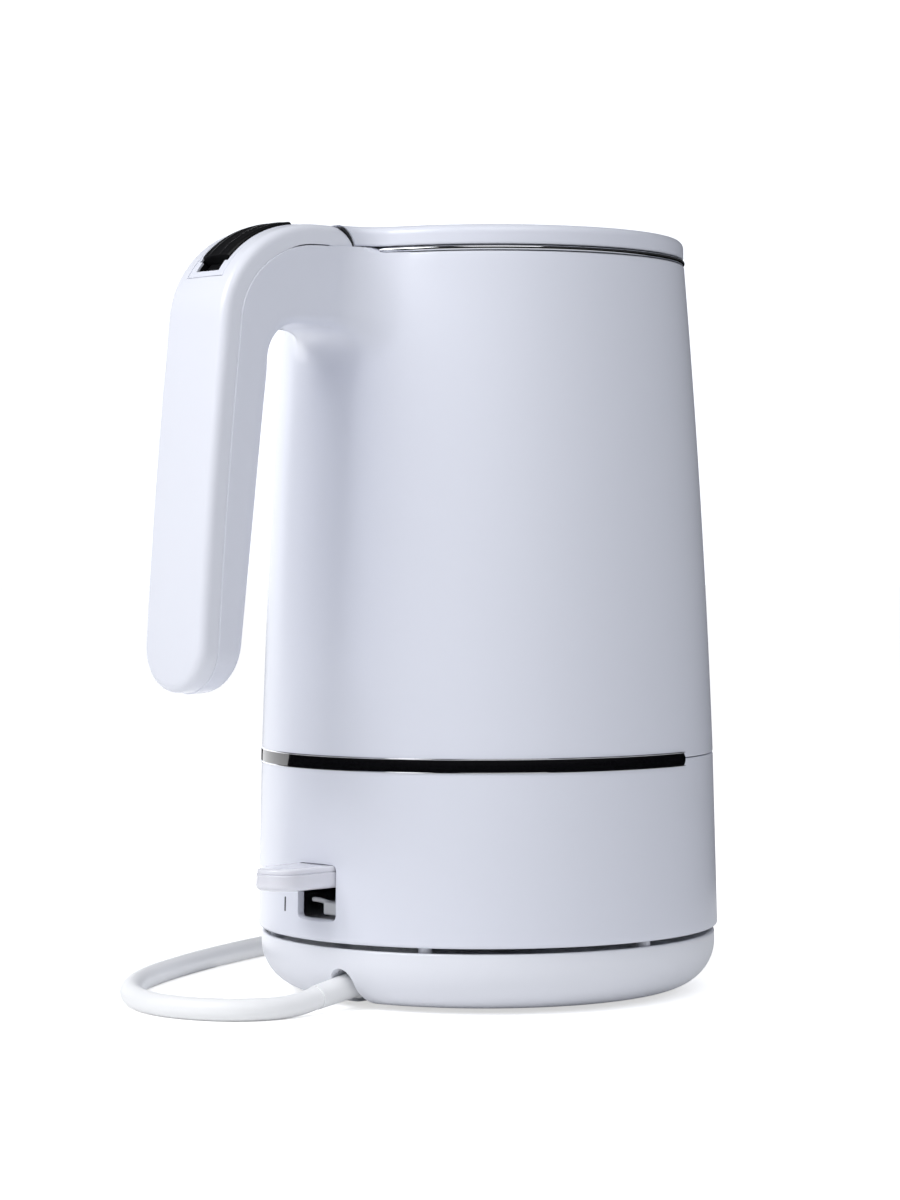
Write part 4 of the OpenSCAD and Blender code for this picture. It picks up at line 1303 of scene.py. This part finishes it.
@dataclass
class SwitchSet:
    """The lever, the printed stroke beside it and the works that show in its window."""

    shop: Workshop
    half: float = 8.4
    tip_u: float = 95.0
    low_z: float = 38.0
    high_z: float = 44.9
    pivot: tuple[float, float] = (50.0, 41.5)

    def paddle(self) -> Shell:
        """Lever: its plan drawn in along an edge profile with a round lower edge and a lip under its top."""
        corners = np.array(
            [[46.0, -self.half], [self.tip_u, -self.half], [self.tip_u, self.half], [46.0, self.half]]
        )
        plan = spaced(soften(corners, [1.0, 7.2, 7.2, 1.0], 18), 1.5)
        along = headings(plan)
        inward = np.stack([-along[:, 1], along[:, 0]], -1)
        z0, z1 = self.low_z, self.high_z
        edge = soften(
            np.array(
                [[4, z0], [0, z0], [0.06, z1 - 2.0], [0.75, z1 - 1.8], [0.3, z1 - 1.5], [0.3, z1], [4, z1]]
            ),
            [0, 2.0, 0.3, 0.12, 0.2, 0.95, 0], 7, False,
        )
        rows = plan[None] + inward[None] * edge[:, None, 0, None]
        z = np.broadcast_to(edge[:, None, 1], rows.shape[:2])
        return grid_shell(capped(np.stack([-rows[..., 0], rows[..., 1], z], -1)))

    def build(self) -> None:
        """Builds the lever, the stroke and the works. Four of the works' blocks have open edges and are missing."""
        lever = make_piece("rocker_paddle", [self.paddle()])
        combine(lever, "UNION", rod(*self.pivot, 4.0, -self.half, self.half))
        combine(lever, "DIFFERENCE", rod(*self.pivot, 1.55, -20, 20))
        self.shop.fit(lever, "lever", Slot.LEVER, LEVER_MILK, "switch_lever")
        self.shop.fit(make_piece("on_stroke", [self.stroke()]), "jug", Slot.DARK, PRINT, "on_mark")
        works = [
            bar(30, 40, 27.2, 50, -13, 13, 0.8),
            bar(39, 56, 27.2, 48, 9.4, 11.4, 0.5),
            bar(39, 56, 27.2, 48, -11.4, -9.4, 0.5),
            bar(54, 70.4, 29.0, 33.1, -6.4, 0.6, 0.7),
            bar(54, 70.6, 27.2, 29.3, -11.4, 2.6, 0.6),
            bar(60, 69.2, 31.6, 32.6, -9.0, 1.6, 0.4),
        ]
        piece = make_piece("switch_works", works[:1])
        combine(piece, "UNION", *works[1:])
        combine(piece, "UNION", self.link(33.1, 7.6, 0.75))
        combine(piece, "DIFFERENCE", rod(*self.pivot, 1.5, -20, 20))
        self.shop.fit(piece, "jug", Slot.GREY, PALE_GREY, "steam_switch")

    @staticmethod
    def link(z: float, y: float, radius: float) -> Shell:
        """Thin rod behind the window, from the works to the far side, bent a little downwards at its root."""
        path = spline(
            np.array(
                [[-67.4, -6.0, z - 1.0], [-67.9, -1.0, z - 0.7], [-68.0, y / 2, z - 0.1], [-67.9, y, z]]
            ),
            6,
        )
        return tube(path, np.full(len(path), radius), 14)

    @staticmethod
    def stroke() -> Shell:
        """Upright stroke with round ends, laid on the wall."""
        a = np.linspace(0, 2 * np.pi, 28, endpoint=False)
        y = 0.43 * np.cos(a)
        z = 31.3 + 1.95 * np.sign(np.sin(a)) * (np.abs(np.sin(a)) > 1e-6) + 0.36 * np.sin(a)
        centre = math.radians(180 - 12.8)
        off = np.array([-0.25, 0.05])[:, None]
        r = WALL.radius(z)[None] + off
        angle = centre + y[None] / r
        return grid_shell(capped(np.stack([r * np.cos(angle), r * np.sin(angle), z[None] + 0 * r], -1)))


@dataclass
class PowerBase:
    """Housing of the power base, with its round underside and the notch for the cord."""

    shop: Workshop
    radius: float = 73.3
    height: float = 19.5
    deck_z: float = 18.6
    notch_deg: float = 187.2
    notch_r: float = 4.3
    notch_z: float = 8.5

    def profile(self) -> Array:
        """Section of the housing in (r, z), from its foot round the outside to the deck and back inside."""
        a = np.radians(np.linspace(-90, 0, 30))
        outer = np.stack([57.5 + (self.radius - 57.5) * np.cos(a), 16 + 14.8 * np.sin(a)], -1)
        t = 2.4
        rim = soften(
            np.array([
                [self.radius, 16.2], [self.radius, self.height],
                [self.radius - 1.6, self.height], [self.radius - 1.9, self.deck_z],
                [20.4, self.deck_z], [20.4, self.deck_z - t], [self.radius - t - 1.5, self.deck_z - t],
            ]),
            [0, 0.7, 0.35, 0.3, 0.5, 0.4, 0], 5, False,
        )
        inner = outer[::-1]
        inner = inner[(inner[:, 1] > 5) & (inner[:, 1] < 15)] - [t, -0.6]
        return np.concatenate([outer, rim[1:], inner, [[57, 4.6], [52.8, 3.8], [52.8, 1.2]]])

    def notch(self) -> Shell:
        """Tunnel for the cord: an arch over straight sides, flaring where it leaves the housing."""
        distance = np.array([48.0, 68.0, 70.0, 71.6, 73.0, 76.0, 90.0])
        grow = np.array([0.0, 0.0, 0.03, 0.15, 0.5, 1.4, 5.0])
        a = np.radians(np.linspace(0, 180, 25))
        y = np.concatenate([np.cos(a), [-1, -1, -0.3, 0.3, 1, 1]])
        arch = np.concatenate([np.sin(a), np.zeros(6)])
        floor = np.concatenate([np.zeros(25), [-5, -9.3, -9.3, -9.3, -9.3, -5]])
        r = self.notch_r + grow[:, None]
        points = np.stack([distance[:, None] + 0 * y, r * y, self.notch_z + r * arch + floor], -1)
        return grid_shell(capped(points) @ turning(self.notch_deg))

    def tunnel(self) -> Shell:
        """Arched wall behind the notch, which closes it towards the inside of the housing."""
        a = np.radians(np.linspace(0, 180, 25))
        r, foot = self.notch_r + 1.1, 7.2
        section = np.concatenate(
            [np.stack([r * np.cos(a), self.notch_z + r * np.sin(a)], -1), [[-r, foot], [r, foot]]]
        )
        distance = np.array([52.0, 69.6])[:, None]
        points = np.stack(
            [distance + 0 * section[:, 0], section[:, 0] + 0 * distance, section[:, 1] + 0 * distance], -1,
        )
        return grid_shell(capped(points) @ turning(self.notch_deg))

    def build(self) -> bpy.types.Object:
        """Builds the housing and cuts the notch."""
        piece = make_piece("base_casing", [turned(self.profile(), 288, 0.3)])
        combine(piece, "UNION", self.tunnel())
        combine(piece, "DIFFERENCE", self.notch())
        return self.shop.fit(piece, "base", Slot.BASE, BASE_WHITE, "base_housing")


@dataclass
class MainsLead:
    """The cord from the base to its plug: strain relief, lead, coil and tail."""

    shop: Workshop
    diameter: float = 7.0
    coil_centre: tuple[float, float] = (78.0, 102.0)
    exit_point: tuple[float, float, float] = (-81.2, -8.5, 5.15)
    plug_centre: tuple[float, float] = (149.0, 79.0)
    plug_r: float = 18.5
    plug_h: float = 17.0
    lead: list[tuple[float, float, float]] = field(default_factory=lambda: [
        (-86, -9, 4.3), (-94, -9, 3.5), (-102, -7, 3.5), (-109, -2, 3.5), (-114, 6, 3.5),
        (-117, 16, 3.5), (-117, 27, 3.5), (-114, 38, 3.5), (-108, 49, 3.5), (-99, 60, 3.5), (-87, 71, 3.5),
        (-74, 80, 3.5), (-58, 89, 3.5), (-40, 98, 3.5), (-21, 106, 3.5), (-2, 113, 3.5), (16, 119, 3.5),
        (32, 125, 3.5),
    ])
    tail: list[tuple[float, float, float]] = field(default_factory=lambda: [
        (109.5, 124.6, 10.4), (114, 119, 10.8), (118.5, 113, 11), (123, 106.5, 10.6), (126.5, 101.5, 9.9),
        (129.5, 98, 9.5),
    ])

    def coil(self) -> Array:
        """Two turns beside each other and part of one on top.

        Angle, radius and height along the coil: the outer turn draws in to the inner one just before they would
        meet, and the end climbs into the groove between them.
        """
        turn = np.radians(np.arange(135, -675, -15.0))
        at = [135, -150, -215, -480, -545, -600, -674]
        r = np.interp(-np.degrees(turn), [-x for x in at], [42.2, 42, 35, 35, 37.4, 38.5, 38.5])
        z = np.interp(-np.degrees(turn), [-x for x in at], [3.5, 3.5, 3.5, 3.5, 10.4, 10.2, 10.0])
        return np.stack(
            [self.coil_centre[0] + r * np.cos(turn), self.coil_centre[1] + r * np.sin(turn), z], -1,
        )

    def route(self) -> Array:
        """The whole centreline, smoothed."""
        knots = np.concatenate([[self.exit_point], self.lead, self.coil(), self.tail])
        line = spline(knots, 6)
        return np.concatenate([line[:1], averaged(line, 5)[1:-1], line[-1:]])

    def relief(self) -> Shell:
        """Tapered strain relief with a flange at its root and a collar inside the housing's wall."""
        start = np.array([51.5, 0.0, 9.4])
        tilt = math.radians(8)
        s = np.linspace(-3, 30.5, 120)
        axis = start + s[:, None] * np.array([math.cos(tilt), 0, -math.sin(tilt)])
        body = 4.2 - 0.45 * np.clip(s, 0, None) / 30.5
        flange = 1.2 / (1 + np.exp((s - 0.3) * 6)) + 0.75 * np.exp(-(((s - 11.5) / 1.4) ** 4))
        return tube(axis @ turning(186), body + flange, 32)

    def plug(self) -> Shell:
        """Moulded plug: a round body whose profile is softened, with a crowned back and a finger groove."""
        r, h = self.plug_r, self.plug_h
        line = soften(
            np.array(
                [
                    [0, 0], [r - 0.6, 0], [r, 5.0], [r - 1.4, 8.0], [r, 11.5], [r - 1.2, h], [r - 3.4, h],
                    [r - 3.8, h - 0.8], [0, h - 0.8],
                ]
            ),
            [0, 2.4, 1.6, 2.2, 1.4, 1.0, 0.4, 0.3, 0], 6, False,
        )
        shell = turned(spaced(line, 2.0, False), 96)
        return Shell(shell.points + np.array([*self.plug_centre, 0.0]), shell.faces)

    def neck(self) -> Shell:
        """Tapered neck of the plug, ribbed where it bends with the cord."""
        turn = math.radians(136)
        s = np.linspace(6, 28, 100)
        path = np.stack([
            self.plug_centre[0] + s * math.cos(turn), self.plug_centre[1] + s * math.sin(turn),
            np.full(len(s), 9.5),
        ], -1)
        body = np.interp(s, [6, 12, 16, 28], [6.6, 6.5, 5.9, 4.2])
        ribs = 0.22 * np.cos(2 * np.pi * (s - 17) / 2.2) * (s > 16.5) * (s < 26)
        return tube(path, body + ribs, 32)

    def pins(self) -> list[Shell]:
        """Two round pins with domed ends."""
        made = []
        for side in (-9.5, 9.5):
            line = soften(
                np.array([[0, 15.5], [2.4, 15.5], [2.4, 36.4], [0, 36.4]]), [0, 0.2, 1.9, 0], 8, False,
            )
            shell = turned(line, 28)
            made.append(
                Shell(
                    shell.points + np.array([self.plug_centre[0], self.plug_centre[1] + side, 0.0]),
                    shell.faces,
                )
            )
        return made

    def tie(self) -> Shell:
        """Strip tie round the coil's turns: a rounded loop across them."""
        angle = math.radians(-80)
        corners = np.array([[30.7, -0.0], [46.3, -0.0], [46.3, 7.6], [30.7, 7.6]]) + [0, 0.02]
        loop = spaced(soften(corners, [3.4] * 4, 8), 1.0)
        half, thick = 2.2, 0.7
        section = soften(
            np.array([[-half, -thick / 2], [half, -thick / 2], [half, thick / 2], [-half, thick / 2]]),
            [0.3] * 4, 4,
        )
        along = headings(loop)
        out = np.stack([along[:, 1], -along[:, 0]], -1)
        flat = loop[:, None] + out[:, None] * section[None, :, 1:2]
        radial, z = flat[..., 0], flat[..., 1] + 0.35
        sideways = np.broadcast_to(section[None, :, 0], radial.shape)
        x = self.coil_centre[0] + radial * math.cos(angle) - sideways * math.sin(angle)
        y = self.coil_centre[1] + radial * math.sin(angle) + sideways * math.cos(angle)
        return grid_shell(np.stack([x, y, z], -1), wrap_rows=True)

    def build(self) -> None:
        route = self.route()
        cord = make_piece("mains_cord", [tube(route, np.full(len(route), self.diameter / 2), 20)])
        self.shop.fit(cord, "base", Slot.CORD, CORD_WHITE, "cord_tube", "cord_coil")
        relief = self.shop.fit(
            make_piece("cord_sleeve", [self.relief()]), "base", Slot.CORD, CORD_WHITE, "cord_relief",
        )
        plug = make_piece("plug_moulding", [self.plug()])
        combine(plug, "UNION", self.neck())
        self.shop.fit(plug, "base", Slot.CORD, CORD_WHITE, "plug_body")
        pins = self.shop.fit(
            make_piece("plug_contact_pins", self.pins()), "base", Slot.CHROME, CHROME, "plug_pins",
        )
        tie = self.shop.fit(make_piece("cord_tie", [self.tie()]), "base", Slot.DARK, DARK)


@dataclass
class Carried:
    """Finishes of the frame nodes whose shape is kept."""

    shop: Workshop
    finishes: dict[str, Finish] = field(default_factory=lambda: {
        "base_plate": BASE_WHITE, "base_feet": SILICONE, "base_screws": ZINC, "base_socket": DARK,
        "socket_contacts": BRASS,
        "inner_pot": STEEL, "spout_filter": STEEL, "bottom_cover": BASE_WHITE, "jug_nubs": BASE_WHITE,
        "bottom_screws": ZINC, "jug_connector": DARK, "probe_contacts": BRASS, "heating_plate": ALLOY,
        "heating_element": ALLOY, "steam_tube": SILICONE, "lever_pin": ZINC, "signal_lamp": AMBER,
        "handle_screws": ZINC,
        "hinge_pin": ZINC, "button_pin": ZINC, "lid_liner": STEEL, "lid_gasket": SILICONE, "lid_spring": ZINC,
        "button_spring": ZINC, "latch_slide": GREY,
    })

    def build(self) -> None:
        """Dresses each carried node."""
        for name, finish in self.finishes.items():
            self.shop.dress(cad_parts[name], finish)


# ---------------------------------------------------------------- studio


@dataclass
class StudioCamera:
    """Camera a little above the middle of the jug, level with its wall, on the handle's right."""

    distance: float = 1038.4
    height: float = 139.97
    bearing_deg: float = 44.0
    pan_deg: float = -0.6551
    tilt_deg: float = 0.7892
    roll_deg: float = -0.2077
    lens: float = 96.06

    def axes(self) -> Array:
        """Columns: the camera's right, up and backward directions, and its place, before the bearing."""
        pan, tilt, roll = (math.radians(a) for a in (self.pan_deg, self.tilt_deg, self.roll_deg))
        right = np.array([math.cos(pan), -math.sin(pan), 0.0])
        ahead_level = np.array([math.sin(pan), math.cos(pan), 0.0])
        above = np.array([0.0, 0.0, 1.0])
        ahead = math.cos(tilt) * ahead_level - math.sin(tilt) * above
        up = math.sin(tilt) * ahead_level + math.cos(tilt) * above
        rolled_right = math.cos(roll) * right + math.sin(roll) * up
        rolled_up = -math.sin(roll) * right + math.cos(roll) * up
        place_at = np.array([0.0, -self.distance, self.height])
        return np.stack([rolled_right, rolled_up, -ahead, place_at * MM], -1)

    def build(self) -> None:
        """Makes the camera and sets it as the scene's."""
        data = bpy.data.cameras.new("studio_camera")
        data.sensor_width = 36.0
        data.lens = self.lens
        data.clip_start, data.clip_end = 0.05, 60.0
        camera = bpy.data.objects.new("studio_camera", data)
        bpy.context.scene.collection.objects.link(camera)
        columns = np.vstack([self.axes(), [0, 0, 0, 1]])
        camera.matrix_world = Matrix.Rotation(-math.radians(self.bearing_deg), 4, "Z") @ Matrix(columns.tolist())
        bpy.context.scene.camera = camera


@dataclass
class Studio:
    """Pale floor, white surroundings and soft lights, whose angles run from the camera's side to the right."""

    bearing_deg: float = 44.0
    floor_m: float = 14.0
    ambient: float = 0.475
    wall_deg: float = -157.0
    wall_half_deg: float = 23.0
    sheet_deg: float = -139.0
    sheet_half_deg: float = 21.0

    def light(
        self, name: str, angle_deg: float, distance: float, height: float, size: tuple[float, float],
        power: float,
    ) -> None:
        """Adds an area light that faces the middle of the jug."""
        data = bpy.data.lights.new(name, "AREA")
        data.shape = "RECTANGLE"
        data.size, data.size_y = size
        data.energy = power
        lamp = bpy.data.objects.new(name, data)
        bpy.context.scene.collection.objects.link(lamp)
        turn = math.radians(angle_deg - 90 - self.bearing_deg)
        lamp.location = (distance * math.cos(turn), distance * math.sin(turn), height)
        towards = Vector((0, 0, 0.12)) - lamp.location
        lamp.rotation_euler = towards.to_track_quat("-Z", "Y").to_euler()

    def surroundings(self) -> None:
        """White to the camera, an even light on the jug, and a dark room with a white wall in reflections."""
        world = bpy.data.worlds.new("studio_white")
        world.use_nodes = True
        bpy.context.scene.world = world
        w = Wiring(world.node_tree)
        background = next(n for n in world.node_tree.nodes if n.type == "BACKGROUND")
        path = w.add("ShaderNodeLightPath")
        turn = math.radians(self.wall_deg - 90 - self.bearing_deg)
        facing = w.add("ShaderNodeVectorMath", operation="DOT_PRODUCT")
        facing.inputs[1].default_value = (math.cos(turn), math.sin(turn), 0.0)
        w.link(w.add("ShaderNodeTexCoord").outputs["Generated"], facing.inputs[0])
        wall = w.math("GREATER_THAN", facing.outputs["Value"], math.cos(math.radians(self.wall_half_deg)))
        mirrored = w.math(
            "MULTIPLY", path.outputs["Is Glossy Ray"],
            w.math("SUBTRACT", w.math("MULTIPLY", wall, 1.6), self.ambient - 0.03),
        )
        strength = w.math(
            "ADD", w.math("ADD", mirrored, self.ambient),
            w.math("MULTIPLY", path.outputs["Is Camera Ray"], 0.75),
        )
        w.link(strength, background.inputs["Strength"])
        background.inputs["Color"].default_value = (0.925, 0.95, 1.0, 1.0)

    def floor(self) -> None:
        """Round floor with a faint mottle."""
        angle = np.linspace(0, 2 * np.pi, 64, endpoint=False)[None]
        radius = np.array([0.02, 0.3, 1.0, 4.0, self.floor_m])[:, None] / MM
        points = np.stack([radius * np.cos(angle), radius * np.sin(angle), 0 * radius * angle], -1)
        piece = make_piece("studio_floor", [grid_shell(np.concatenate([0 * points[:1], points]))])
        made = bpy.data.materials.new("floor_paper")
        made.use_nodes = True
        shader = next(n for n in made.node_tree.nodes if n.type == "BSDF_PRINCIPLED")
        w = Wiring(made.node_tree)
        ramp = w.add("ShaderNodeMapRange")
        ramp.inputs["To Min"].default_value, ramp.inputs["To Max"].default_value = 0.93, 0.96
        w.link(w.noise(6.0, 3.0), ramp.inputs["Value"])
        path = w.add("ShaderNodeLightPath")
        reach = w.add("ShaderNodeVectorMath", operation="LENGTH")
        w.link(w.add("ShaderNodeTexCoord").outputs["Object"], reach.inputs[0])
        turn = math.radians(self.sheet_deg - 90 - self.bearing_deg)
        facing = w.add("ShaderNodeVectorMath", operation="DOT_PRODUCT")
        facing.inputs[1].default_value = (math.cos(turn), math.sin(turn), 0.0)
        aim = w.add("ShaderNodeVectorMath", operation="NORMALIZE")
        w.link(w.add("ShaderNodeTexCoord").outputs["Object"], aim.inputs[0])
        w.link(aim.outputs["Vector"], facing.inputs[0])
        sheet = w.math("GREATER_THAN", facing.outputs["Value"], math.cos(math.radians(self.sheet_half_deg)))
        far = w.math("GREATER_THAN", reach.outputs["Value"], 0.34)
        far = w.math("MULTIPLY", far, w.math("SUBTRACT", 1.0, sheet))
        lit = w.math("SUBTRACT", 1.0, w.math("MULTIPLY", far, path.outputs["Is Glossy Ray"]))
        tint = w.add("ShaderNodeCombineColor")
        for i in range(3):
            w.link(w.math("MULTIPLY", ramp.outputs["Result"], lit), tint.inputs[i])
        w.link(tint.outputs["Color"], shader.inputs["Base Color"])
        shader.inputs["Roughness"].default_value = 0.9
        shader.inputs["Specular IOR Level"].default_value = 0.0
        shader.inputs["Emission Color"].default_value = (1.0, 1.0, 1.0, 1.0)
        mirrored = w.math("MULTIPLY", w.math("MULTIPLY", sheet, path.outputs["Is Glossy Ray"]), 0.8)
        seen = w.math("MULTIPLY", path.outputs["Is Camera Ray"], 0.6)
        w.link(w.math("ADD", mirrored, seen), shader.inputs["Emission Strength"])
        piece.data.materials.append(made)

    def build(self) -> None:
        """Builds the floor, the surroundings and the lights."""
        self.surroundings()
        self.floor()
        self.light("left_bank", -56, 0.9, 0.84, (0.7, 0.5), 7.1)
        self.light("front_bank", 12, 0.85, 1.3, (0.9, 0.8), 3.6)
        bpy.context.scene.view_settings.view_transform = "Standard"


def main() -> None:
    """Builds the camera and the cord, then the sub-assemblies, the carried nodes and the studio."""
    logging.basicConfig(level=logging.INFO, format="%(message)s")
    shop = Workshop()
    StudioCamera().build()
    MainsLead(shop).build()
    PowerBase(shop).build()
    LowerShell(shop).build()
    TrimBand(shop).build()
    RimTrim(shop).build()
    Casing(shop).build()
    Cover(shop).build()
    Lid(shop).build()
    ReleaseSet(shop).build()
    SwitchSet(shop).build()
    Carried(shop).build()
    Studio().build()


if __name__ == "__main__":
    main()
